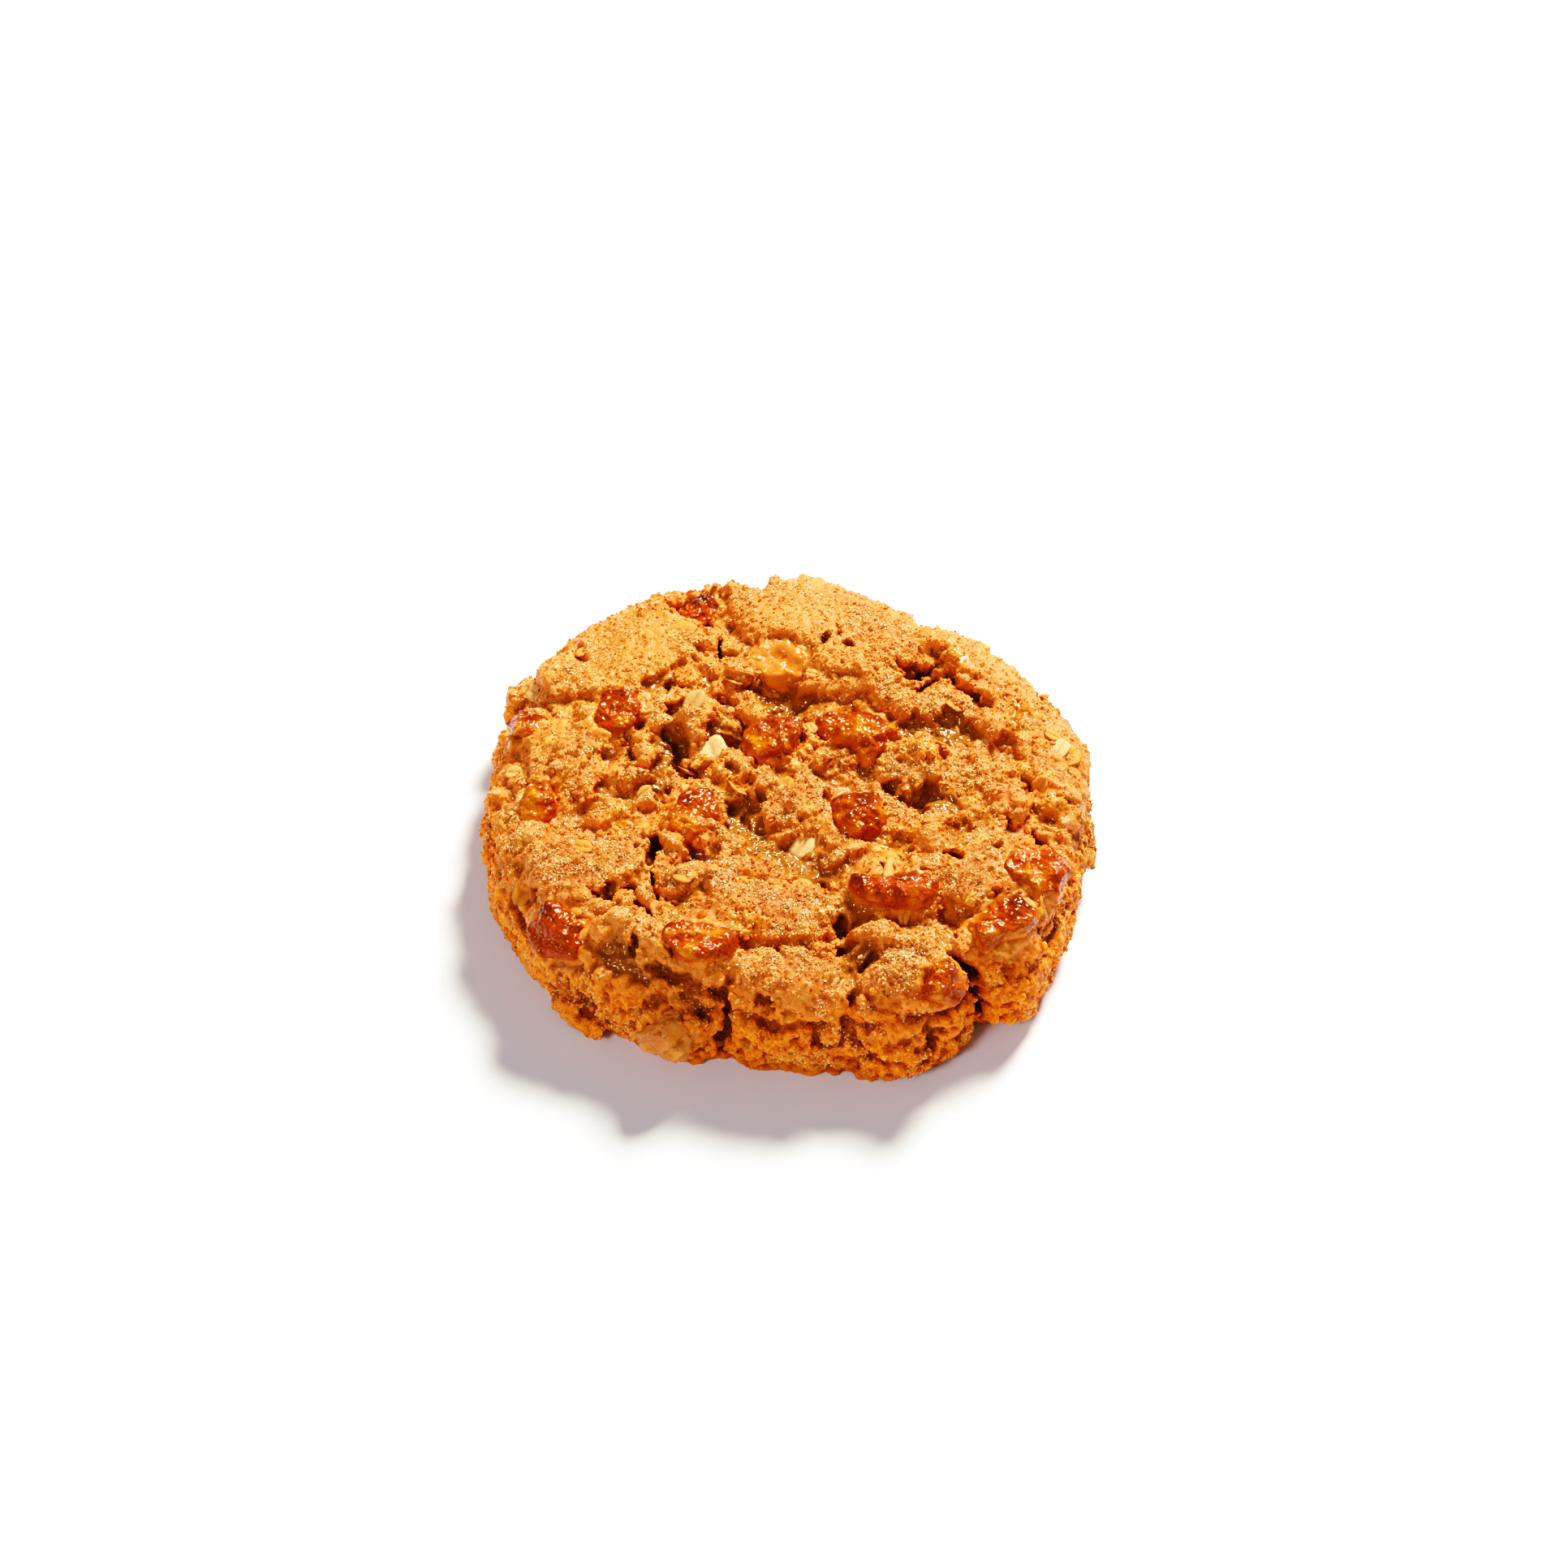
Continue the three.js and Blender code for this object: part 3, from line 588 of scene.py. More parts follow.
def torn_depth(p, plan):
    """Depth of holes and tears: steep-walled ovals, lines that open in short stretches, slits in the side."""
    gape = step(smooth_noise(p, 4, 131) + 0.3 * smooth_noise(p, 1.5, 133), -0.05, 0.6)
    depth = np.zeros(len(p))
    for line, wide, deep, foot in TORN_LINES:
        wide_open = np.maximum(gape, foot == 0)
        opening = step(p[:, 2], foot - CRACK_CLOSE / 2, foot + CRACK_CLOSE / 2) * wide_open
        away = line_distance(plan, line) / (wide * (0.3 + 0.6 * wide_open))
        depth = np.maximum(depth, 0.75 * deep * opening * (1 - step(away, 0.2, 1.15)))
    for hole in HOLES:
        depth = np.maximum(depth, hole[5] * oval_cover(plan, hole, 0.55, 1.2))
    depth *= 0.6 + 0.4 * step(np.hypot(p[:, 0], p[:, 1]), 20, 28)
    wall = 1 - step(p[:, 2], 12.5, 15)
    drawn = pushed(p, 3, 1.0, 151) * SLIT_STRETCH
    slit = 1 - step(abs(smooth_noise(drawn, 8.5, 157)), 0.0, 0.13)
    slit *= step(smooth_noise(p, 6, 163), -0.2, 0.4)
    ledge = LEDGE_HEIGHT + 1.8 * smooth_noise(p, 9, 167)
    under = np.exp(-(((p[:, 2] - ledge) / 1.0) ** 2)) * step(smooth_noise(p, 8, 173), -0.35, 0.3)
    under *= 1 - 0.6 * lamp_side(p)
    return np.maximum(depth, np.maximum(SLIT_DEPTH * wall * slit, LEDGE_DEPTH * under))


def pores(p, size, seed):
    """Depth share of round pores: about half of the cells of a grid hold one, each of its own width."""
    near, tint = cells(pushed(p, 1.2, 0.35, seed + 9), size, seed)
    return (tint > 0.5) * (1 - step(np.sqrt(near) / (0.06 + 0.26 * tint), 0.45, 1.0))


def crumb_relief(p, even, pool, upward):
    """Small height along the skin's facing: fine chunks, grains and pores, calmer on even slabs."""
    bent = pushed(p, 1.6, 0.4, 121)
    fine = FINE_CHUNK * chunks(bent, 1.1, 31, 7)[0] + FINE_NOISE * smooth_noise(p, 0.65, 43)
    wall = 1 - step(p[:, 2], *WALL_TOP)
    porous = np.maximum(step(smooth_noise(p, 6, 211), -0.2, 0.6), 0.4 * wall)
    pitted = sum(depth * pores(p, size, seed) for size, depth, seed in PORE_SIZES)
    calm = (1 - 0.75 * even * step(upward, 0.7, 0.96)) * (1 - 0.6 * pool)
    return fine * calm * (1 + 0.25 * wall) - (0.1 + 0.9 * porous) * (1 - 0.7 * pool) * pitted


def face_normals_at_points(p, quads):
    """Unit normals at points: the sum of the crossed diagonals of the quads that meet there."""
    cross = np.cross(p[quads[:, 2]] - p[quads[:, 0]], p[quads[:, 3]] - p[quads[:, 1]])
    total = np.zeros_like(p)
    for corner in range(4):
        for axis in range(3):
            total[:, axis] += np.bincount(quads[:, corner], cross[:, axis], len(p))
    return total / np.maximum(np.linalg.norm(total, axis=1), 1e-12)[:, None]


def smoothed(value, quads, rounds):
    """A value at points averaged with its neighbours: to the faces and back, a number of rounds."""
    corner = quads.ravel()
    meet = np.maximum(np.bincount(corner, minlength=len(value)), 1)
    for _ in range(rounds):
        face = value[quads].mean(axis=1)
        value = np.bincount(corner, np.repeat(face, 4), len(value)) / meet
    return value


# %% Raise the dough
OVERHANG = 0.8
RIM_HEIGHT = 0.5
# Rounds of smoothing: of the form itself, of the soft form under its rims, of the broad level round it.
FORM_ROUNDS = 2
SOFT_ROUNDS = 24
BROAD_ROUNDS = 240
plain_point, plain_facing = plain_skin(dough_angle, dough_reach)
plain_plan = frayed_plan(plain_point)
foot_fade = 1 - step(dough_reach, 1.83, 2.0)
dough_pool = ovals_share(plain_plan, POOLS, *POOL_SLOPE) * (dough_reach < 1.5)
mounds, slab_share, slab_even = mound_relief(plain_point, plain_plan, dough_pool)
cut_depth = torn_depth(plain_point, plain_plan)
form_rise, juice_halo = seat_dice(plain_point, mounds - SIDE_TRIM * step(dough_reach, 1.0, 1.35))
form_rise = smoothed((form_rise - cut_depth) * foot_fade, dough_quads, FORM_ROUNDS)
stand_out = form_rise - smoothed(form_rise, dough_quads, BROAD_ROUNDS)
soft_rise = smoothed(form_rise, dough_quads, SOFT_ROUNDS)
soft_normal = face_normals_at_points(plain_point + plain_facing * soft_rise[:, None], dough_quads)
lean_out = soft_normal - plain_facing * (soft_normal * plain_facing).sum(axis=1)[:, None]
rim = np.tanh((form_rise - soft_rise) / RIM_HEIGHT)
form_point = plain_point + plain_facing * form_rise[:, None]
form_point += OVERHANG * lean_out * (rim * foot_fade)[:, None]
form_normal = face_normals_at_points(form_point, dough_quads)
print("highest mound in mm:", form_rise.max().round(2), "deepest cut:", form_rise.min().round(2))

# %% Crumble its skin
CAVITY_ROUNDS = 12
CAVITY_DEPTH = 0.2
crumb_fade = 1 - step(dough_reach, 1.93, 1.995)
crumbled = crumb_relief(form_point, slab_even, dough_pool, form_normal[:, 2])
dough_point = form_point + form_normal * (crumbled * crumb_fade)[:, None]
dough_point[:, 2] = np.maximum(dough_point[:, 2], 0)
dough_normal = face_normals_at_points(dough_point, dough_quads)
# How hollow each point is; the colours use it for painted shade in hollows and painted highlights on crests.
around_point = np.stack([smoothed(axis, dough_quads, CAVITY_ROUNDS) for axis in dough_point.T], axis=1)
cavity = np.tanh(((around_point - dough_point) * form_normal).sum(axis=1) / CAVITY_DEPTH)
print("dough height in mm:", dough_point[:, 2].max().round(2))

# %% [markdown]
# ## The colour of the bake
#
# Colour follows the oven, and painted light lies over it. Faces that look up are pale and dry, which also
# stands in for the light falling on them as a painted highlight, and they are deeper towards the front. The
# side is a deep orange as it looks in shade, and on the back and right, which face the lamp, a darker brown
# so that the lamp doesn't wash it out. Hollows, crevices and holes carry painted shade and crests a painted
# highlight. The juice of the apple gathered in low places as a brown, shiny syrup and soaked other places
# to amber. Colour is worked out at every point from the same lists as the shape and kept in the mesh, so it
# stays on its lump.

# %% Colours of the dough
PALE_CRUST = np.array([0.69, 0.212, 0.043])
ROSY_CRUST = np.array([0.61, 0.160, 0.037])
FRONT_CRUST = np.array([0.49, 0.116, 0.028])
PALE_FLECK = np.array([0.86, 0.40, 0.085])
RUSTY_FLECK = np.array([0.42, 0.07, 0.006])
TORN_CRUMB = np.array([0.69, 0.208, 0.044])
SHADED_SIDE_ORANGE = np.array([0.76, 0.115, 0.003])
SHADED_SIDE_CREST_HIGHLIGHT = np.array([0.89, 0.25, 0.028])
LIT_SIDE_BROWN = np.array([0.50, 0.135, 0.022])
LIT_SIDE_CREST_HIGHLIGHT = np.array([0.66, 0.215, 0.042])
RUST = np.array([0.44, 0.07, 0.003])
SYRUP_AND_HOLLOW_SHADE = np.array([0.27, 0.086, 0.014])
HOLE_SHADE = np.array([0.26, 0.06, 0.006])
SIDE_CREVICE_SHADE = np.array([0.24, 0.038, 0.002])
BROWN_FOOT = np.array([0.50, 0.125, 0.008])
AMBER = np.array([0.61, 0.166, 0.015])
CREST_HIGHLIGHT_LIFT = (1.2, 1.35, 1.5)
FLECK_SPACING = 2.8
SIDE_SPAN = (1.1, 1.42)
AMBER_SLOPE = (0.4, 1.2)
AMBER_SPOTS = np.array([
    # x, y, half length, half width, turn
    (20, 2, 4.4, 3.4, 10), (-1, 24, 4.4, 2.8, 0), (26, 22, 3.6, 1.8, -50), (-10, -2.5, 3.0, 3.4, 0),
    (25, -19, 4.5, 3.0, 20), (35.5, -21.5, 4.5, 3.0, -30), (-6, -32, 4.0, 2.6, 20), (4, -27.5, 2.4, 1.8, 30),
    (-26, -9.5, 3.0, 2.4, 0), (-12.3, 17, 1.9, 1.7, 0), (15.5, -14, 4.0, 2.2, 20), (-20, 31.5, 2.4, 1.6, 40),
    (36, 10, 3.4, 2.6, 60), (40, -8, 4.0, 3.0, 80), (-16, -26, 3.4, 2.0, 10), (29, -10.5, 3.0, 2.2, -30),
])


def blend(colour, other, share):
    """Mixes a second colour into a first, by a share at each point."""
    return colour + (other - colour) * np.clip(share, 0, 1)[:, None]


def layered(colour, layers):
    """A colour with other colours laid over it in turn, each by its share at each point."""
    for tone, share in layers:
        colour = blend(colour, tone, share)
    return colour


def syrup_share(pool, high, p):
    """1 where syrup lies: in the pools and, thinner, in other low places of the middle."""
    middle = 1 - step(np.hypot(p[:, 0], p[:, 1]), 26, 38)
    low = step(-high + 0.5 * smooth_noise(p, 4.5, 91), 0.2, 1.1) * (0.35 + 0.4 * middle)
    return np.clip(pool * (0.5 + 0.5 * step(-high, -1.2, 0.2)) + low, 0, 1)


def dough_colour(p, reach, cover, cut, syrup, amber, upward, high, cavity):
    """Colour and sandiness at each point, from crust to torn crumb to syrup to hole, with painted light.

    Painted shade lies in hollows, crevices and holes, painted highlights on crests and up-facing faces.
    """
    patch = smooth_noise(p, 13, 81) + 0.6 * p[:, 0] / RADIUS + 0.1 * p[:, 1] / RADIUS
    spot = smooth_noise(p, 3.5, 85)
    grain = smooth_noise(p, 1.6, 87)
    near, tint = cells(pushed(p, 1.5, 0.6, 93), FLECK_SPACING, 301)
    fleck = 1 - step(np.sqrt(near), 0.25, 0.5)
    lamp_share = lamp_side(p)
    side = step(reach, *SIDE_SPAN)
    # Faces that look up get the pale crust: partly dry crust, partly a painted highlight for the light
    # falling on them; slopes keep the deeper torn colour, which is partly painted shade.
    dry_and_lit_share = step(high + 0.8 * cover + 0.5 * spot + 0.25 * grain, -0.5, 0.7)
    dry_and_lit_share *= step(upward + 0.1 * spot, 0.55, 0.92)
    crust = layered(PALE_CRUST, [
        (ROSY_CRUST, 0.45 + 0.7 * patch + 0.5 * spot + 0.3 * grain),
        (TORN_CRUMB, 0.55 * step(np.hypot(p[:, 0], p[:, 1]) - 0.12 * p[:, 1], 34, 48)),
        (FRONT_CRUST, (0.85 + 0.35 * spot) * step(-p[:, 1], -10, 12)),
    ])
    rusty = 0.5 * step(smooth_noise(p, 5, 97), 0.0, 0.6) + 0.5 * (1 - step(p[:, 2] + 1.5 * spot, 1, 9))
    # The side's deep orange is how it looks in shade; on the lamp side a darker brown stands in so that the
    # lamp doesn't wash it out: lit and shaded copies of one colour.
    wall_tone = layered(SHADED_SIDE_ORANGE, [(RUST, rusty), (LIT_SIDE_BROWN, lamp_share)])
    facing_left = step(-p[:, 0] / RADIUS, 0.35, 0.9)
    wall_share = side * (0.75 + 0.25 * patch + 0.3 * spot - 0.4 * facing_left)
    # Painted shade in the side's hollows and low places.
    crevice_shade = np.clip(1.4 * cavity, 0, 1) + 0.6 * step(-high + 0.4 * grain, 0.3, 1.2)
    # Painted highlight on convex crests, of the side and of dry tops.
    crest_highlight = blend(SHADED_SIDE_CREST_HIGHLIGHT, LIT_SIDE_CREST_HIGHLIGHT, lamp_share)
    colour = layered(TORN_CRUMB, [
        (crust, dry_and_lit_share),
        (wall_tone, np.maximum(wall_share, 0.9 * side * lamp_share) * (1 - 0.5 * dry_and_lit_share)),
        (AMBER, 0.8 * amber),
        (AMBER, 0.6 * step(spot - 0.4 * grain, 0.3, 0.7) * (1 - 0.8 * cover)),
        (PALE_FLECK, 0.6 * fleck * (tint > 0.85) * (1 - 0.5 * syrup)),
        (RUSTY_FLECK, 0.6 * fleck * (tint < 0.14)),
        (SYRUP_AND_HOLLOW_SHADE, 0.85 * syrup),
        # Syrup colour in hollows of the top and in cuts, as painted shade.
        (SYRUP_AND_HOLLOW_SHADE, 0.6 * (1 - side) * np.clip(cavity, 0, 1) + 0.25 * step(cut, 0.3, 1.4)),
        (SIDE_CREVICE_SHADE, 0.8 * side * crevice_shade),
        (crest_highlight, 0.8 * side * np.clip(-1.4 * cavity, 0, 1)),
        (PALE_CRUST * CREST_HIGHLIGHT_LIFT, 0.5 * np.clip(-cavity, 0, 1) * dry_and_lit_share * (1 - side)),
        # Painted shade at the bottom of deep holes and cracks.
        (HOLE_SHADE, 0.75 * step(cut + 0.4 * grain, 1.6, 3.4)),
        (BROWN_FOOT, 0.5 * (1 - step(p[:, 2] + 0.8 * grain, 0.3, 3.2))),
    ])
    sand = np.maximum(0.25 + 0.75 * dry_and_lit_share, 0.8 * side)
    sand *= np.clip(0.75 + 0.6 * spot, 0.2, 1) * (1 - syrup) * (1 - 0.7 * amber)
    return np.clip(colour, 0, 1), sand


# %% Colour, glint and wetness at the points of the dough
steep_face = 1 - (soft_normal * plain_facing).sum(axis=1)
dough_syrup = syrup_share(dough_pool, stand_out, plain_point) * (dough_reach < 1.6)
dough_amber = ovals_share(plain_plan, AMBER_SPOTS, *AMBER_SLOPE) * (dough_reach < 1.6)
dough_amber = np.maximum(dough_amber, 0.75 * juice_halo)
dough_tone, dough_sand = dough_colour(
    plain_point, dough_reach, slab_share, cut_depth, dough_syrup, dough_amber, form_normal[:, 2], stand_out,
    cavity)
# Where painted glints go and where sugar grains lie: sandy skin that looks up, in clusters, more at the front
# and thinner on the side.
sugar_and_glint_patch = smooth_noise(plain_point, 2.2, 311) + 0.7 * smooth_noise(plain_point, 6, 313)
dough_glint = np.clip(dough_sand + 0.25 * dough_syrup, 0, 1) * step(form_normal[:, 2], 0.45, 0.9)
dough_glint *= 0.2 + 0.8 * step(sugar_and_glint_patch, -0.1, 0.6)
dough_glint *= 0.35 + 0.65 * step(-plain_point[:, 1], -30, 10)
on_side = step(dough_reach, *SIDE_SPAN)
dough_glint = np.maximum(dough_glint, 0.35 * on_side * step(sugar_and_glint_patch, -0.1, 0.5))
sloping = 1 - step(form_normal[:, 2], 0.45, 0.85)
sloping *= 1 - 0.6 * on_side
dough_wet = 0.25 - 0.1 * on_side + 0.75 * dough_syrup + 0.5 * dough_amber + 0.35 * sloping
dough_wet = np.clip(dough_wet, 0, 1)
print("mean colour of the dough:", dough_tone.mean(axis=0).round(3))

# %% From arrays to a mesh


def make_piece(name, points, faces, tone, **shares):
    """A mesh piece in metres from points in mm, with its colour and named shares kept at the points."""
    mesh = bpy.data.meshes.new(name)
    mesh.from_pydata((points + CENTRE_SHIFT) * MM, [], faces)
    colour = mesh.attributes.new("bake", "FLOAT_COLOR", "POINT")
    rgba = np.concatenate([tone, np.ones((len(tone), 1))], axis=1)
    colour.data.foreach_set("color", rgba.astype(np.float32).ravel())
    for share, value in shares.items():
        layer = mesh.attributes.new(share, "FLOAT", "POINT")
        layer.data.foreach_set("value", np.broadcast_to(value, len(points)).astype(np.float32))
    mesh.polygons.foreach_set("use_smooth", np.ones(len(mesh.polygons), bool))
    mesh.update()
    piece = bpy.data.objects.new(name, mesh)
    bpy.context.scene.collection.objects.link(piece)
    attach(piece, "root")
    triangles = sum(len(f) - 2 for f in faces)
    print(name, "points:", len(points), "triangles:", triangles)
    return piece


# %% Top and side as closed pieces
INNER_FLOOR = 7.0
INNER_SHARE = np.array([0.97, 0.97, 0])
SEAM_DEPTH = 1.2
SEAM_ROUNDS = 6
seam_normal = np.stack([smoothed(axis, dough_quads, SEAM_ROUNDS) for axis in form_normal.T], axis=1)


def closed_part(quads, fan, ring, downwards):
    """Points and faces of a part of the skin, closed inside by a wall under the ring and a flat floor.

    The wall first follows the inward normal of the skin, so that it stays hidden beside holes, and then
    drops to the floor. Gives the skin points used, all points and all faces.
    """
    used = np.unique(np.concatenate([quads.ravel(), fan.ravel()]))
    place = np.zeros(len(dough_point), int)
    place[used] = np.arange(len(used))
    head = place[ring]
    knee = len(used) + np.arange(len(ring))
    foot = knee + len(ring)
    wall = strip_quads(np.stack([head, knee, foot]))
    floor_fan = fan_triangles(foot, len(used) + 2 * len(ring))
    if not downwards:
        wall, floor_fan = wall[:, ::-1], floor_fan[:, ::-1]
    quads = np.concatenate([place[quads], wall])
    triangles = np.concatenate([place[fan], floor_fan])
    inside = dough_point[ring] - SEAM_DEPTH * seam_normal[ring]
    low = inside * INNER_SHARE + (0, 0, INNER_FLOOR)
    points = np.concatenate([dough_point[used], inside, low, [[0, 0, INNER_FLOOR]]])
    return used, points, quads.tolist() + triangles.tolist()


def dough_piece(name, quads, fan, downwards):
    """One part of the dough as a mesh piece, shaded with the normals of the whole skin."""
    used, points, faces = closed_part(quads, fan, shared_ring, downwards)
    extra = np.concatenate([shared_ring, shared_ring, shared_ring[:1]])
    source = np.concatenate([used, extra])
    piece = make_piece(
        name, points, faces, dough_tone[source], wet=dough_wet[source], sand=dough_sand[source],
        glint=dough_glint[source])
    piece.data.normals_split_custom_set_from_vertices(dough_normal[source])
    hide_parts("dough")
    return piece


no_fan = np.zeros((0, 3), int)
dough_top = dough_piece("dough_top", top_quads, no_fan, True)
dough_side = dough_piece("dough_side", side_quads, base_fan, False)

# %% [markdown]
# ## Diced apple
#
# Each dice began as a knife-cut block and shrank in the oven: its faces sank, its edges caramelised
# and its skin turned glossy. A block with soft edges is the smooth minimum of a few planes, so a
# direction is divided by the distance to those planes, and the result is wrinkled with noise. One dice
# in the front of the side stayed pale, and one at the back of the top is baked over with dough.

# %% One dice
ROUND_STEPS = 96
RISE_STEPS = 46
EDGE_POWER = 7
CORNER_CUT = 0.86


def ball_grid(around_steps, rise_steps):
    """Unit directions on a ball by longitude and latitude, with one point at each pole, and faces."""
    lon = np.linspace(0, 2 * np.pi, around_steps, endpoint=False)
    lat = np.linspace(-np.pi / 2, np.pi / 2, rise_steps + 1)[1:-1]
    lat, lon = np.meshgrid(lat, lon, indexing="ij")
    ring = np.stack([np.cos(lat) * np.cos(lon), np.cos(lat) * np.sin(lon), np.sin(lat)], axis=-1)
    rows = np.arange(ring.shape[0] * around_steps).reshape(-1, around_steps)
    nxt = np.roll(rows, -1, axis=1)
    quads = np.stack([rows[:-1], nxt[:-1], nxt[1:], rows[1:]], axis=-1).reshape(-1, 4)
    south, north = rows.size, rows.size + 1
    low = np.stack([nxt[0], rows[0], np.full(around_steps, south)], axis=-1)
    high = np.stack([rows[-1], nxt[-1], np.full(around_steps, north)], axis=-1)
    points = np.concatenate([ring.reshape(-1, 3), [[0, 0, -1], [0, 0, 1]]])
    return points, quads.tolist() + low.tolist() + high.tolist()


ball_points, ball_faces = ball_grid(ROUND_STEPS, RISE_STEPS)
ball_quads = np.array([f for f in ball_faces if len(f) == 4])


def unit(v):
    """Vectors scaled to length 1."""
    return v / np.linalg.norm(v, axis=1)[:, None]


def dice_shape(size, seed):
    """A soft-edged block: each direction over the power mean of its reach towards tilted planes.

    Where one plane rules the face is flat; where two share, there is an edge. The share of the second
    gives how close a point is to an edge. Noise of three sizes then shrinks and wrinkles the block.
    """
    rng = np.random.default_rng(seed)
    planes = np.concatenate([np.eye(3), -np.eye(3)]) + rng.normal(0, 0.22, (6, 3))
    extra = rng.normal(0, 1, (4, 3)) * (1, 1, 0.7)
    planes = np.concatenate([planes, unit(extra) * CORNER_CUT])
    pull = np.clip(ball_points @ planes.T, 0, None) ** EDGE_POWER
    radius = pull.sum(axis=1) ** (-1 / EDGE_POWER)
    edge = 1 - pull.max(axis=1) / pull.sum(axis=1)
    p = ball_points * np.clip(radius, 0.7, 1.25)[:, None] * np.array(size) * DICE_REACH
    place = p + 50 * seed
    wrinkle = 0.9 * smooth_noise(place, 4.2, 4) + 0.4 * (1 - 2.4 * abs(smooth_noise(place, 2.6, 5)))
    wrinkle += 0.35 * smooth_noise(place, 1.3, 8) + 0.16 * smooth_noise(place, 0.7, 9) - 0.5
    return p + ball_points * wrinkle[:, None], edge, wrinkle


# %% Colours of the apple
FLESH = np.array([0.64, 0.175, 0.007])
RED_SKIN_AND_WRINKLE_SHADE = np.array([0.34, 0.046, 0.002])
BURNT_EDGE = np.array([0.09, 0.010, 0.003])
PALE_FLESH = np.array([0.70, 0.30, 0.085])
PALE_DICE = 15
BURIED_DICE = 11
BURIED_WET = 0.35


def dice_colour(p, edge, wrinkle, above, back, red, seed):
    """Amber flesh, red in patches, burnt where it stands high at the back, doughy where it meets dough.

    The hollows of the wrinkles get a darker red as painted shade.
    """
    patch = smooth_noise(p + 31 * seed, 3.2, 6)
    burn = 0.5 * edge + 0.5 * smooth_noise(p + 17 * seed, 1.8, 7) + 0.3 * above + 0.55 * back
    burn += 0.35 * (red - 0.5)
    return layered(FLESH, [
        (RED_SKIN_AND_WRINKLE_SHADE, step(patch + 0.5 * (red - 0.25), -0.35, 0.45)),
        (RED_SKIN_AND_WRINKLE_SHADE, 0.85 * step(burn, 0.1, 0.6)),
        (BURNT_EDGE, 0.85 * step(burn, 0.55, 1.05)),
        # Painted shade: darker red in the hollows of the wrinkles.
        (RED_SKIN_AND_WRINKLE_SHADE, 0.6 * step(-wrinkle, 0.1, 0.7)),
        (TORN_CRUMB, 0.65 * (1 - step(above + 0.4 * patch, -0.3, 0.45))),
    ])


# %% Lay the dice in their seats
for number, row in enumerate(DICE):
    long, wide, deep, turn, rest = row[3:]
    local, edge, wrinkle = dice_shape((long, wide, deep), number + 1)
    point, facing, _ = DICE_PLACE[number]
    points = local @ lie_on(facing, turn).T + point + facing * deep * (rest - 0.5)
    above = (points - point) @ facing / 1.6
    back = (points - points.mean(axis=0))[:, 1] / (0.5 * long)
    tone = dice_colour(local, edge, wrinkle, above, back, DICE_RED[number], number + 1)
    dice_wet = BURIED_WET if number == BURIED_DICE else 1.0
    if number == PALE_DICE:
        tone = blend(tone, PALE_FLESH, 0.65 - 0.6 * edge)
    if number == BURIED_DICE:
        tone = blend(tone, PALE_CRUST, 0.85 - 0.5 * step(smooth_noise(local, 3.0, 15), 0.0, 0.5))
    node = f"apple_{number + 1:02d}"
    # Faces of the apple that look up get painted glints.
    upward = face_normals_at_points(points, ball_quads)[:, 2]
    dice = make_piece(f"apple_dice_{number + 1:02d}", points, ball_faces, tone, wet=dice_wet, sand=0.3,
                      glint=step(upward, 0.7, 0.97))
    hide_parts(node)

# %% [markdown]
# ## Rolled oats
#
# A rolled oat is a steamed grain squashed flat: an oval flake with a crease along its middle and a
# ragged rim. Most are baked into the dough and toasted to its colour, and a few lie open and pale. One
# small grid makes the flake, and every flake is that grid bent, scaled and laid on the dough.

# %% The flake and its scatter
FLAKE_RINGS = 4
FLAKE_SIDES = 22


def flake_grid():
    """A flat closed oval: rings from the middle of the upper face over the rim to the lower face."""
    share = np.concatenate([np.linspace(0, 1, FLAKE_RINGS + 1)[1:], np.linspace(1, 0, 3)[1:-1]])
    upper = np.concatenate([np.ones(FLAKE_RINGS), -np.ones(1)])
    turn = np.linspace(0, 2 * np.pi, FLAKE_SIDES, endpoint=False)
    x = share[:, None] * np.cos(turn)
    y = share[:, None] * np.sin(turn)
    z = np.repeat(upper[:, None] * (1 - 0.75 * share[:, None] ** 4), FLAKE_SIDES, axis=1)
    points = np.stack([x, y, z], axis=-1).reshape(-1, 3)
    rows = np.arange(len(points)).reshape(-1, FLAKE_SIDES)
    nxt = np.roll(rows, -1, axis=1)
    quads = strip_quads(rows)
    top, low = len(points), len(points) + 1
    cap = np.stack([rows[0], nxt[0], np.full(FLAKE_SIDES, top)], axis=-1)
    foot = np.stack([nxt[-1], rows[-1], np.full(FLAKE_SIDES, low)], axis=-1)
    points = np.concatenate([points, [[0, 0, 1], [0, 0, -1]]])
    return points, quads, np.concatenate([cap, foot])


def turned(normal, spin, tilt, lean):
    """Matrices that carry a flake's up axis onto each normal, after a spin and a small tilt."""
    helper = np.where(abs(normal[:, 2:]) < 0.9, [[0.0, 0.0, 1.0]], [[1.0, 0.0, 0.0]])
    first = unit(np.cross(helper, normal))
    second = np.cross(normal, first)
    x = first * np.cos(spin)[:, None] + second * np.sin(spin)[:, None]
    y = np.cross(normal, x)
    up = unit(normal + x * np.tan(tilt)[:, None] + y * np.tan(lean)[:, None])
    x = unit(x - up * (x * up).sum(axis=1)[:, None])
    return np.stack([x, np.cross(up, x), up], axis=-1)


def pick_points(rng, count, weight):
    """Random points of the dough, chosen in proportion to a weight."""
    return rng.choice(len(dough_point), count, replace=False, p=weight / weight.sum())


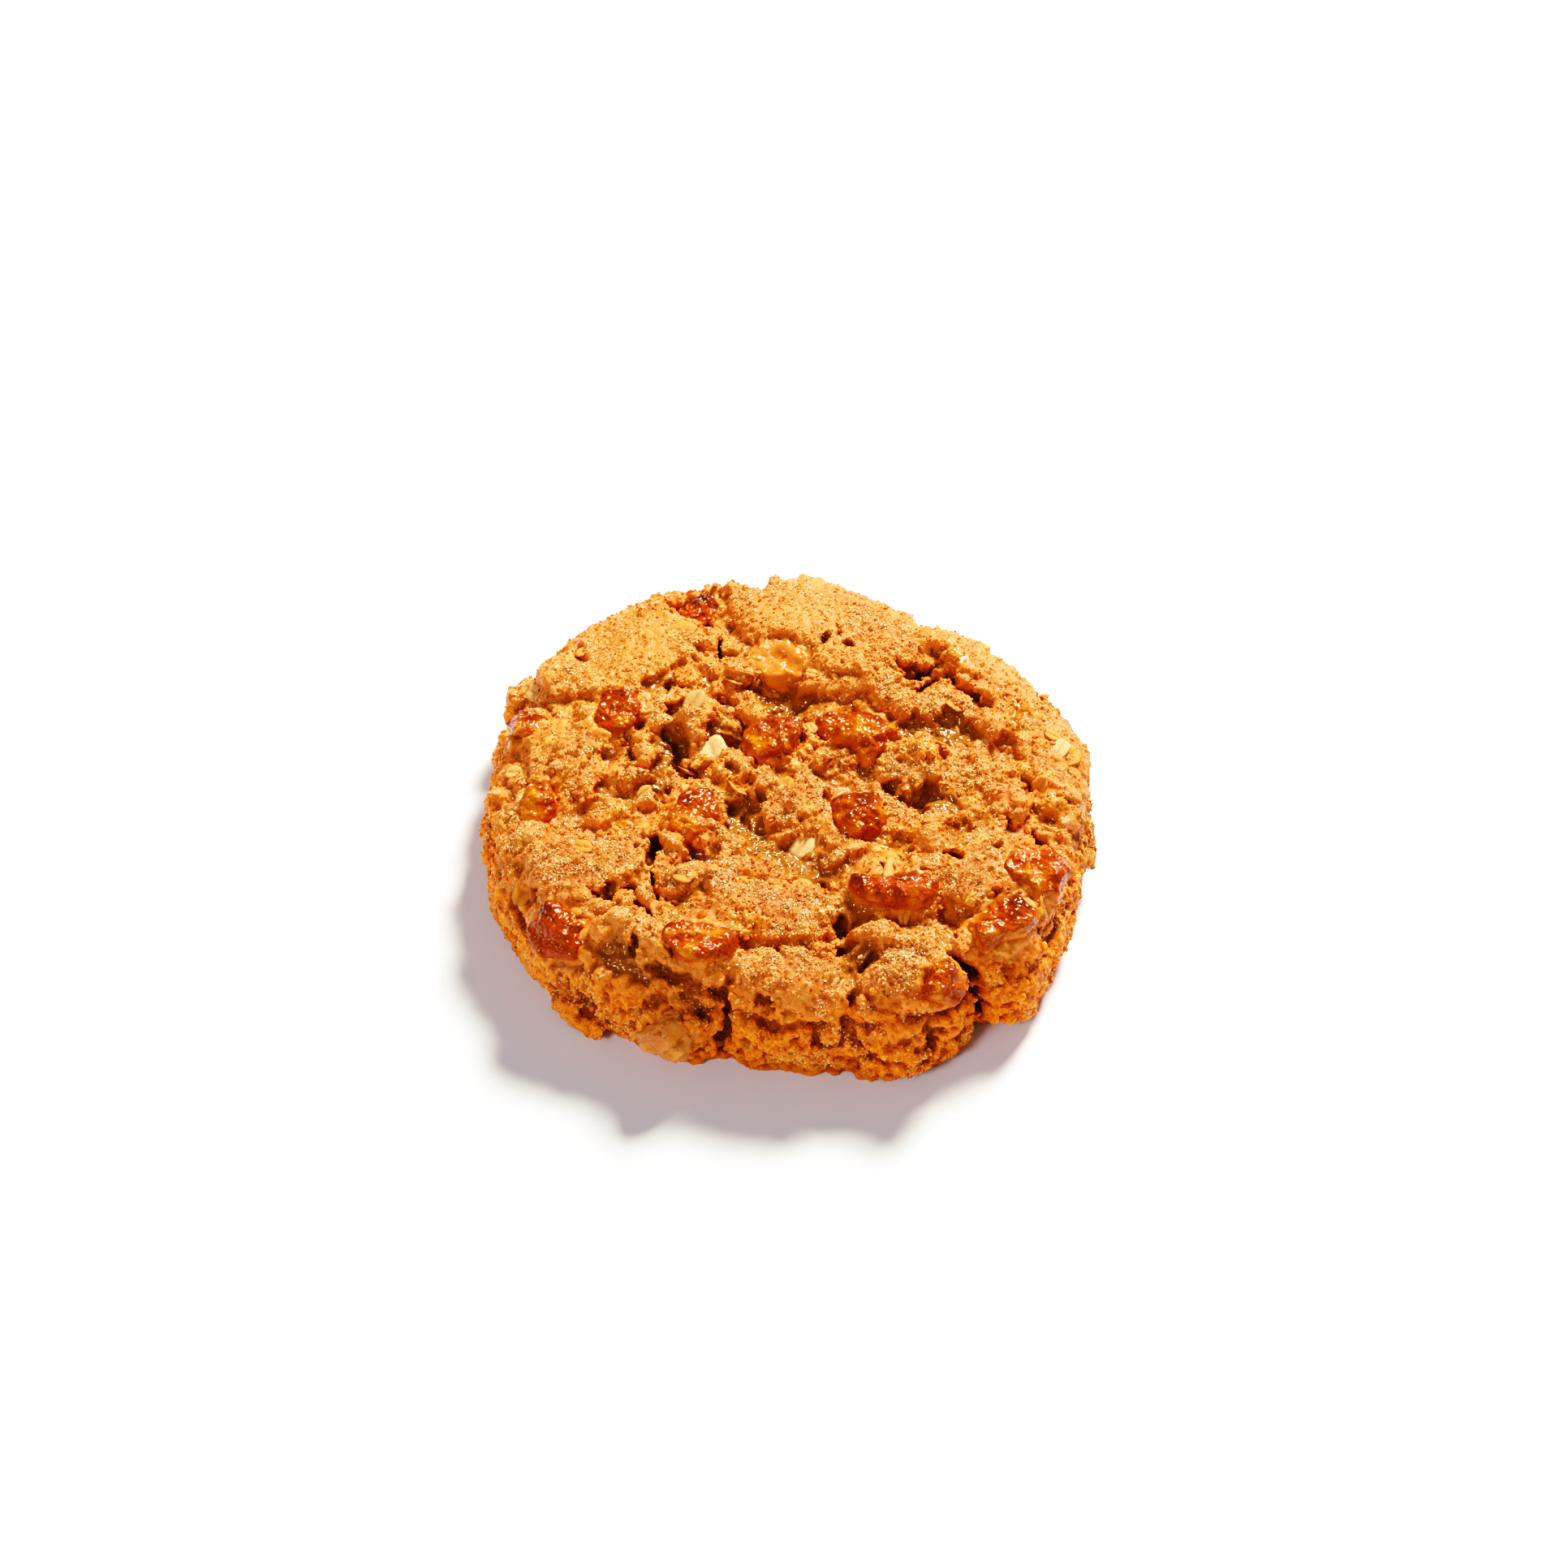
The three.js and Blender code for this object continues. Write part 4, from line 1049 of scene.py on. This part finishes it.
# %% Weights for the scatter
TOP_WEIGHT = 0.16
SIDE_WEIGHT = 0.15
LOWEST_REACH = 1.75
skin_weight = np.where(dough_reach <= 1, TOP_WEIGHT, SIDE_WEIGHT) * (dough_reach < LOWEST_REACH)
dice_middle = np.array([point for point, _, _ in DICE_PLACE])
dice_room = np.array([d[3] / 2 for d in DICE])
to_dice = np.linalg.norm(dough_point[:, None] - dice_middle[None], axis=2) - dice_room
clear_of_dice = step(to_dice.min(axis=1), -0.5, 1.5)
main_rise = main_relief(plain_point)
smooth_normal = face_normals_at_points(
    plain_point + plain_facing * (main_rise * foot_fade)[:, None], dough_quads)
print("share of the skin clear of apple:", clear_of_dice.mean().round(3))

# %% Oat flakes
OPEN_OATS = np.array([
    # x, y, length, turn, paleness
    (-11.5, 3.2, 6.6, 20, 1.0), (-14.6, 10.3, 4.4, -35, 0.6), (2.3, 23.6, 3.4, 60, 0.4),
    (3.5, 18.4, 2.4, 70, 0.3), (2.8, 29, 2.4, 10, 0.4), (11, 9.8, 3.8, -35, 0.6),
    (3.4, 6.8, 2.4, 30, 0.4), (41.5, 4, 4.2, -30, 0.8), (26, 8.8, 2.0, 20, 0.4),
    (13, 0.8, 4.2, 20, 0.3), (2, -14.6, 4.8, -35, 0.9), (-21.5, -13.5, 3.2, -40, 0.2),
    (-36.5, -6.2, 3.0, -20, 0.3), (-15.5, -4.5, 2.6, 20, 0.4), (-22, -6, 2.8, -60, 0.3),
    (-12.6, -33.8, 3.4, -30, 0.8), (-12.5, -38, 2.6, 10, 0.4), (7, -41.8, 2.6, -40, 0.5),
    (23.3, -32.2, 3.0, -50, 0.5), (35.2, -28.6, 3.8, -30, 0.4), (16, -22.6, 6.5, 3, 0.3),
    (-22.5, 13.5, 2.8, -20, 0.4), (-31.3, 10.5, 3.2, 50, 0.3), (-39.5, 19, 4.6, 65, 0.7),
    (-36.5, 16.8, 3.0, 20, 0.4), (-29, 0.2, 2.6, 0, 0.3), (-42.5, 1.8, 3.4, 80, 0.4),
    (0.5, 38, 3.0, 0, 0.4), (-22.5, 26, 3.6, 10, 0.2), (17, -30, 2.6, 0, 0.3),
])
CREAM = np.array([0.82, 0.46, 0.165])
TOASTED = np.array([0.70, 0.225, 0.036])
OAT_COUNT = 36
OAT_LENGTH = (2.6, 5.4)
OAT_PALENESS = (0.0, 0.15)
OAT_TILT = 0.15
OPEN_TILT = 0.12
OAT_ASPECT = 0.72
OAT_THICK = 0.5
OAT_RAGGED = 0.05
OPEN_LEAN = (0, -0.4, 1.6)
OPEN_LIFT = 0.45


def oat_flakes(rng, index, length, spin, tilt, pale):
    """Flakes laid on the dough: an oval with a wavy rim, curled across and creased along its middle."""
    base, quads, fans = flake_grid()
    count = len(index)
    phase = rng.uniform(0, 2 * np.pi, (count, 1))
    turn = np.arctan2(base[:, 1], base[:, 0])
    rim = 1 + OAT_RAGGED * np.sin(3 * turn + phase) + OAT_RAGGED * np.sin(5 * turn + 2 * phase)
    x = base[:, 0] * rim * length[:, None] / 2
    y = base[:, 1] * rim * (OAT_ASPECT * length)[:, None] / 2
    crease = np.exp(-((base[:, 1] / 0.16) ** 2)) * (base[:, 2] > 0)
    curl = rng.uniform(-0.05, 0.09, (count, 1))
    z = base[:, 2] * OAT_THICK / 2 + curl * y**2 - 0.16 * crease + 0.5 * curl * x * np.sin(phase)
    local = np.stack([x, y, z], axis=-1)
    upright = unit(smooth_normal[index] + OPEN_LEAN * pale[:, None])
    frames = turned(upright, spin, tilt, 0.5 * tilt[::-1])
    points = np.einsum("nij,nkj->nki", frames, local) + dough_point[index][:, None]
    lift = rng.uniform(-0.5, 0.0, (count, 1)) + OPEN_LIFT * pale[:, None]
    points += (smooth_normal[index] * lift)[:, None]
    tone = TOASTED + (CREAM - TOASTED) * pale[:, None, None]
    # Painted shade: darker along the crease and round the rim.
    tone = tone * (1 - 0.28 * crease[..., None] - 0.18 * (abs(base[:, :2]).max(axis=1) > 0.9)[:, None])
    tone = np.broadcast_to(tone, points.shape).reshape(-1, 3)
    shift = (np.arange(count) * len(base))[:, None, None]
    faces = (quads + shift).reshape(-1, 4).tolist() + (fans + shift).reshape(-1, 3).tolist()
    return points.reshape(-1, 3), faces, tone


def nearest_points(places):
    """Index of the dough point nearest in plan to each place on the top."""
    away = ((dough_point[None, :, :2] - places[:, None]) ** 2).sum(axis=2)
    return np.where(dough_reach[None] < 1.5, away, np.inf).argmin(axis=1)


# %% Lay the oats
oat_rng = np.random.default_rng(41)
oat_weight = skin_weight * clear_of_dice * (dough_reach < 1.25)
oat_index = np.concatenate([
    nearest_points(OPEN_OATS[:, :2]), pick_points(oat_rng, OAT_COUNT, oat_weight)])
oat_long = np.concatenate([OPEN_OATS[:, 2], oat_rng.uniform(*OAT_LENGTH, OAT_COUNT)])
oat_pale = np.concatenate([OPEN_OATS[:, 4], oat_rng.uniform(*OAT_PALENESS, OAT_COUNT)])
oat_spin = np.concatenate([np.radians(OPEN_OATS[:, 3]), oat_rng.uniform(0, 2 * np.pi, OAT_COUNT)])
oat_tilt = np.concatenate([np.full(len(OPEN_OATS), OPEN_TILT), oat_rng.normal(0, OAT_TILT, OAT_COUNT)])
oat_points, oat_faces, oat_tone = oat_flakes(oat_rng, oat_index, oat_long, oat_spin, oat_tilt, oat_pale)
oats = make_piece("oat_flakes", oat_points, oat_faces, oat_tone, wet=0.15, sand=0.5, glint=0.0)

# %% [markdown]
# ## Loose crumbs
#
# Broken dough sheds crumbs that bake onto the skin, as fine grains and larger lumps, and some sugar stays
# on top. They catch the light one by one, which is what makes the surface look sandy. Each is a small
# uneven pebble with few faces, in the colour of the dough under it, paler for sugar, sunk by about half.

# %% Grains of crumb
GRAIN_COUNT = 24000
LUMP_COUNT = 1500
SUGAR_COUNT = 24500
GRAIN_STRAY = 0.25
SUGAR_GRAIN = np.array([0.92, 0.55, 0.20])


def small_grain():
    """A grain with six corners and eight flat faces."""
    points = np.concatenate([np.eye(3), -np.eye(3)])
    faces = [(x, y, z) for x in (0, 3) for y in (1, 4) for z in (2, 5)]
    return points, np.array([f if (f[0] + f[1] + f[2]) % 2 else f[::-1] for f in faces])


def large_grain():
    """A ball with twelve corners and twenty faces: three crossed golden rectangles."""
    gold = (1 + 5**0.5) / 2
    a, b = np.array([(1, gold), (1, -gold), (-1, gold), (-1, -gold)]).T
    zero = np.zeros(4)
    points = np.concatenate([
        np.stack([zero, a, b], axis=1), np.stack([a, b, zero], axis=1), np.stack([b, zero, a], axis=1)])
    points /= np.hypot(1, gold)
    near = np.linalg.norm(points[:, None] - points[None], axis=2) < 1.2
    i, j, k = (v.ravel() for v in np.meshgrid(*[np.arange(12)] * 3, indexing="ij"))
    joined = near[i, j] & near[j, k] & near[k, i] & (i < j) & (j < k)
    faces = np.stack([i, j, k], axis=1)[joined]
    way = np.cross(points[faces[:, 1]] - points[faces[:, 0]], points[faces[:, 2]] - points[faces[:, 0]])
    inward = (way * points[faces].mean(axis=1)).sum(axis=1) < 0
    faces[inward] = faces[inward][:, ::-1]
    return points, faces


def scatter_grains(name, rng, shape, weight, size, own_tone=None, dry_shine=0.2):
    """Grains of uneven shape, each turned at random and half sunk in the dough, as one piece."""
    base, faces = shape
    count = len(size)
    index = pick_points(rng, count, weight)
    local = base * rng.uniform(0.6, 1.3, (count, len(base), 1))
    local = local * size[:, None, None] / 2 * rng.uniform(0.65, 1.25, (count, 1, 3))
    frames = turned(dough_normal[index], *rng.uniform(-1.2, 1.2, (3, count)))
    aside = rng.uniform(-GRAIN_STRAY, GRAIN_STRAY, (count, 3))
    aside -= dough_normal[index] * (aside * dough_normal[index]).sum(axis=1)[:, None]
    points = np.einsum("nij,nkj->nki", frames, local) + (dough_point[index] + aside)[:, None]
    points += (dough_normal[index] * (size * rng.uniform(-0.28, 0.1, count))[:, None])[:, None]
    points[..., 2] = np.maximum(points[..., 2], 0.02)
    tone = dough_tone[index] * rng.uniform(0.75, 1.3, (count, 1))
    pale = (rng.random(count) < 0.08) * (1 - dough_syrup[index])
    tone = blend(tone, PALE_FLECK, 0.8 * pale)
    if own_tone is not None:
        tone = blend(tone, own_tone, rng.uniform(0.3, 1.0, count))
    tone = np.repeat(np.clip(tone, 0, 0.9), len(base), axis=0)
    shift = (np.arange(count) * len(base))[:, None, None]
    all_faces = (faces + shift).reshape(-1, 3).tolist()
    wet = np.repeat(np.clip(dry_shine + 0.7 * dough_syrup[index], 0, 1), len(base))
    glint = np.repeat(dough_glint[index], len(base))
    piece = make_piece(name, points.reshape(-1, 3), all_faces, tone, wet=wet, sand=0.5, glint=glint)
    piece.data.polygons.foreach_set("use_smooth", np.zeros(len(all_faces), bool))
    return piece


# %% Scatter the crumbs
crumb_rng = np.random.default_rng(97)
crumb_weight = skin_weight * (0.25 + 0.75 * clear_of_dice) * (1 - 0.85 * dough_syrup) * (1 - 0.4 * slab_even)
grain_size = np.clip(crumb_rng.lognormal(-0.8, 0.3, GRAIN_COUNT), 0.3, 0.9)
crumb_grains = scatter_grains("crumb_grains", crumb_rng, small_grain(), crumb_weight, grain_size)
lump_weight = crumb_weight * (0.1 + step(steep_face, 0.05, 0.3)) * (1 - 0.9 * slab_even)
lump_weight *= 1 + 0.6 * step(dough_reach, 1.15, 1.3) + 3 * np.exp(-((to_dice.min(axis=1) / 0.9) ** 2))
lump_size = np.clip(crumb_rng.lognormal(0.0, 0.3, LUMP_COUNT), 0.6, 2.0)
crumb_lumps = scatter_grains("crumb_lumps", crumb_rng, large_grain(), lump_weight, lump_size)
sugar_weight = skin_weight * clear_of_dice * dough_glint**1.5
sugar_size = crumb_rng.uniform(0.28, 0.5, SUGAR_COUNT)
sugar_grains = scatter_grains(
    "sugar_grains", crumb_rng, small_grain(), sugar_weight, sugar_size, SUGAR_GRAIN, 0.85)

# %% [markdown]
# ## Materials
#
# One recipe serves dough, crumbs, oats and apple, with numbers of its own for each finish. The colour
# kept at the points is multiplied by fine speckle, a few grains get a painted glint in a pale colour, and
# the skin gets a sandy bump. The wetness kept at the points lowers the roughness and raises the shine, so
# that syrup and apple gleam and dry skin doesn't.

# %% Node helpers


def new_material(name):
    """An empty node material with its shader and output joined."""
    material = bpy.data.materials.new(name)
    material.use_nodes = True
    nodes = material.node_tree.nodes
    nodes.clear()
    shader = nodes.new("ShaderNodeBsdfPrincipled")
    out = nodes.new("ShaderNodeOutputMaterial")
    material.node_tree.links.new(shader.outputs["BSDF"], out.inputs["Surface"])
    return material, shader


def add(material, kind, inputs=(), **settings):
    """A node with its settings and inputs; an input that is a socket is linked, a value is set."""
    node = material.node_tree.nodes.new(kind)
    for key, value in settings.items():
        setattr(node, key, value)
    for key, value in dict(inputs).items():
        if isinstance(value, bpy.types.NodeSocket):
            material.node_tree.links.new(value, node.inputs[key])
        else:
            node.inputs[key].default_value = value
    return node


def ramp(material, socket, stops):
    """A colour ramp from a list of places and colours."""
    node = add(material, "ShaderNodeValToRGB", {"Fac": socket})
    while len(node.color_ramp.elements) < len(stops):
        node.color_ramp.elements.new(0.5)
    for element, (place, colour) in zip(node.color_ramp.elements, stops):
        element.position = place
        element.color = (*colour, 1)
    return node.outputs["Color"]


def stretch(material, value, low, high, bottom, top):
    """A value carried from the span low to high onto the span bottom to top."""
    ends = {"From Min": low, "From Max": high, "To Min": bottom, "To Max": top}
    return add(material, "ShaderNodeMapRange", {"Value": value, **ends}).outputs["Result"]


def vector_math(material, operation, output, *vectors):
    """A difference, product or length of vectors, from the named output of its node."""
    node = add(material, "ShaderNodeVectorMath", enumerate(vectors), operation=operation)
    return node.outputs[output]


# %% The baked skin
DRY_SHINE = 0.1
PAINTED_GLINT_TINT = (0.92, 0.96)
SHINE_TONE = (1.0, 0.8, 0.55, 1)


def baked_material(
        name, grain_size, grain_lift, speck, painted_glint_tone, sparkle, dull, shiny, ripple_size, gloss=0.5):
    """Colour from the points, broken into grains, with a warm shine where it is wet.

    The grains are the cells of a Voronoi pattern. A grain's height is a plane through its middle, tilted
    by its random colour, so each is shaded at its own angle, and in a few of them a pale painted glint
    stands in for sparkle, as much as the glint share at the points allows.
    """
    material, shader = new_material(name)
    link = material.node_tree.links.new
    place = add(material, "ShaderNodeTexCoord").outputs["Object"]
    tone = add(material, "ShaderNodeAttribute", attribute_name="bake").outputs["Color"]
    wet, sand, lit = (
        add(material, "ShaderNodeAttribute", attribute_name=share).outputs["Fac"]
        for share in ("wet", "sand", "glint"))
    grain = add(material, "ShaderNodeTexVoronoi", {"Vector": place, "Scale": 1 / grain_size})
    tint = add(material, "ShaderNodeSeparateColor", {"Color": grain.outputs["Color"]}).outputs["Blue"]
    speckle = ramp(material, tint, [
        (0.0, (1 - speck, 1 - 1.2 * speck, 1 - 1.3 * speck)), (0.12, (1, 1, 1)),
        (0.6, (1, 1, 1)), (0.93, (1 + 0.6 * speck, 1 + speck, 1 + 1.6 * speck))])
    mixed = add(material, "ShaderNodeMix", {0: sand, 6: tone, 7: speckle},
                data_type="RGBA", blend_type="MULTIPLY").outputs[2]
    most = stretch(material, lit, 0, 1, 0, sparkle)
    # Painted glints: in a few grains a pale colour stands in for a sparkle of light.
    painted_glint = stretch(material, tint, *PAINTED_GLINT_TINT, 0, most)
    glinted_colour = add(material, "ShaderNodeMix", {0: painted_glint, 6: mixed, 7: (*painted_glint_tone, 1)},
                 data_type="RGBA").outputs[2]
    link(glinted_colour, shader.inputs["Base Color"])
    away = vector_math(material, "SUBTRACT", "Vector", place, grain.outputs["Position"])
    tilt = vector_math(material, "SUBTRACT", "Vector", grain.outputs["Color"], (0.5, 0.5, 0.5))
    facet = vector_math(material, "DOT_PRODUCT", "Value", away, tilt)
    ripple = add(material, "ShaderNodeTexNoise",
                 {"Vector": place, "Scale": 1 / ripple_size, "Detail": 1}).outputs["Fac"]
    film = add(material, "ShaderNodeBump", {"Height": ripple, "Strength": wet, "Distance": 0.6 * ripple_size})
    soft = add(material, "ShaderNodeBump", {
        "Height": facet, "Strength": sand, "Distance": grain_lift, "Normal": film.outputs["Normal"]})
    link(soft.outputs["Normal"], shader.inputs["Normal"])
    link(stretch(material, wet, 0, 1, dull, shiny), shader.inputs["Roughness"])
    link(stretch(material, wet, 0, 1, DRY_SHINE, gloss), shader.inputs["Specular IOR Level"])
    shader.inputs["Specular Tint"].default_value = SHINE_TONE
    return material, shader


# %% Finishes of dough, oats and apple
PALE_GLINT = (0.98, 0.79, 0.52)
AMBER_GLINT = (0.98, 0.62, 0.22)
LIGHT_REACH = (1.0, 0.4, 0.15)
LIGHT_DEPTH = 0.0012
dough_finish, dough_shader = baked_material(
    "baked_dough", grain_size=0.0004, grain_lift=1.0, speck=0.5, painted_glint_tone=PALE_GLINT, sparkle=0.6,
    dull=0.65, shiny=0.12, ripple_size=0.0018)
oat_finish, oat_shader = baked_material(
    "rolled_oat", grain_size=0.0005, grain_lift=0.3, speck=0.15, painted_glint_tone=PALE_GLINT, sparkle=0.0,
    dull=0.6, shiny=0.4, ripple_size=0.001)
apple_finish, apple_shader = baked_material(
    "baked_apple", grain_size=0.0004, grain_lift=0.2, speck=0.1, painted_glint_tone=AMBER_GLINT, sparkle=0.5,
    dull=0.3, shiny=0.13, ripple_size=0.001, gloss=0.35)
for shader, share in ((dough_shader, 0.06), (apple_shader, 0.06), (oat_shader, 0.1)):
    shader.inputs["Subsurface Weight"].default_value = share
    shader.inputs["Subsurface Radius"].default_value = LIGHT_REACH
    shader.inputs["Subsurface Scale"].default_value = LIGHT_DEPTH
for piece in (dough_top, dough_side, crumb_grains, crumb_lumps, sugar_grains):
    piece.data.materials.append(dough_finish)
oats.data.materials.append(oat_finish)
for piece in bpy.data.objects:
    if piece.name.startswith("apple_dice_"):
        piece.data.materials.append(apple_finish)
print("materials:", [m.name for m in (dough_finish, oat_finish, apple_finish)])

# %% [markdown]
# ## Floor, light and camera
#
# The cookie lies on a plain pale floor, which glows far away to meet the bright horizon. A strong lamp
# stands high behind the cookie and to the right, so the crumb throws short shadows towards the viewer.
# A weaker lamp at the front left and the dim upper sky fill them. The camera looks down from the front.

# %% Floor
FLOOR_HALF = 4.0
GLOW_START = 0.8
GLOW_FULL = 2.4
GLOW_LEVEL = 0.85
floor_mesh = bpy.data.meshes.new("floor")
corners = [(-1, -1), (1, -1), (1, 1), (-1, 1)]
floor_mesh.from_pydata([(FLOOR_HALF * x, FLOOR_HALF * y, 0) for x, y in corners], [], [(0, 1, 2, 3)])
floor = bpy.data.objects.new("floor", floor_mesh)
bpy.context.scene.collection.objects.link(floor)
floor_finish, floor_shader = new_material("pale_floor")
floor_shader.inputs["Base Color"].default_value = (0.84, 0.84, 0.84, 1)
floor_shader.inputs["Roughness"].default_value = 0.9
floor_place = add(floor_finish, "ShaderNodeTexCoord").outputs["Object"]
floor_away = vector_math(floor_finish, "LENGTH", "Value", floor_place)
floor_glow = stretch(floor_finish, floor_away, GLOW_START, GLOW_FULL, 0, GLOW_LEVEL)
floor_finish.node_tree.links.new(floor_glow, floor_shader.inputs["Emission Strength"])
floor_mesh.materials.append(floor_finish)

# %% Lights
LAMPS = [
    # name, place in metres, size, power in watts, colour
    ("key_lamp", (0.53, 1.0, 1.13), 0.45, 66, (1, 0.985, 0.95)),
    ("front_fill", (-0.75, -1.0, 1.0), 0.4, 10, (1, 0.97, 0.93)),
]
BRIGHT = (1, 1, 1)
DIM = (0.16, 0.16, 0.16)


def lamp(name, place, size, power, colour):
    """A round area lamp that shines at the cookie from a place in metres."""
    data = bpy.data.lights.new(name, "AREA")
    data.shape = "DISK"
    data.size = size
    data.energy = power
    data.color = colour
    holder = bpy.data.objects.new(name, data)
    holder.location = place
    holder.rotation_euler = (-Vector(place)).to_track_quat("-Z", "Y").to_euler()
    bpy.context.scene.collection.objects.link(holder)
    return holder


lamps = [lamp(*settings) for settings in LAMPS]
sky = bpy.data.worlds.new("pale_sky")
sky.use_nodes = True
way = add(sky, "ShaderNodeTexCoord").outputs["Generated"]
upward = add(sky, "ShaderNodeSeparateXYZ", {"Vector": way}).outputs["Z"]
glow = ramp(sky, upward, [(0.0, BRIGHT), (0.13, BRIGHT), (0.27, DIM), (1.0, DIM)])
sky.node_tree.links.new(glow, sky.node_tree.nodes["Background"].inputs["Color"])
bpy.context.scene.world = sky
print("lamps:", [holder.name for holder in lamps])

# %% Contrast of the picture
WHITE = 1.5
BLUE_CURVE, ALL_COLOURS_CURVE = 2, 3


def photo_contrast(settings, curves, white):
    """Tone curves from scene light to picture light, over light from 0 to white, by number of curve."""
    settings.view_transform = "Standard"
    settings.use_curve_mapping = True
    mapping = settings.curve_mapping
    mapping.white_level = (white, white, white)
    for number, points in curves.items():
        curve = mapping.curves[number]
        while len(curve.points) < len(points):
            curve.points.new(0.5, 0.5)
        for point, place in zip(curve.points, points):
            point.location = place
    mapping.update()


photo_contrast(bpy.context.scene.view_settings, {
    ALL_COLOURS_CURVE: [(0, 0), (0.033, 0.02), (0.08, 0.09), (0.27, 0.45), (0.6, 0.82), (1, 1)],
    BLUE_CURVE: [
        (0, 0), (0.015, 0.006), (0.03, 0.025), (0.06, 0.063), (0.2, 0.22), (0.4, 0.385), (1, 1)],
}, WHITE)

# %% Camera
SENSOR = 36.0
LENS = 96.3
ELEVATION = 49.0
CAMERA_PLACE = np.array([-0.8, -424.3, 502.4])
camera_data = bpy.data.cameras.new("camera")
camera_data.sensor_width = SENSOR
camera_data.lens = LENS
camera = bpy.data.objects.new("camera", camera_data)
camera.location = (CAMERA_PLACE + CENTRE_SHIFT) * MM
camera.rotation_euler = (np.radians(90 - ELEVATION), 0, 0)
bpy.context.scene.collection.objects.link(camera)
bpy.context.scene.camera = camera
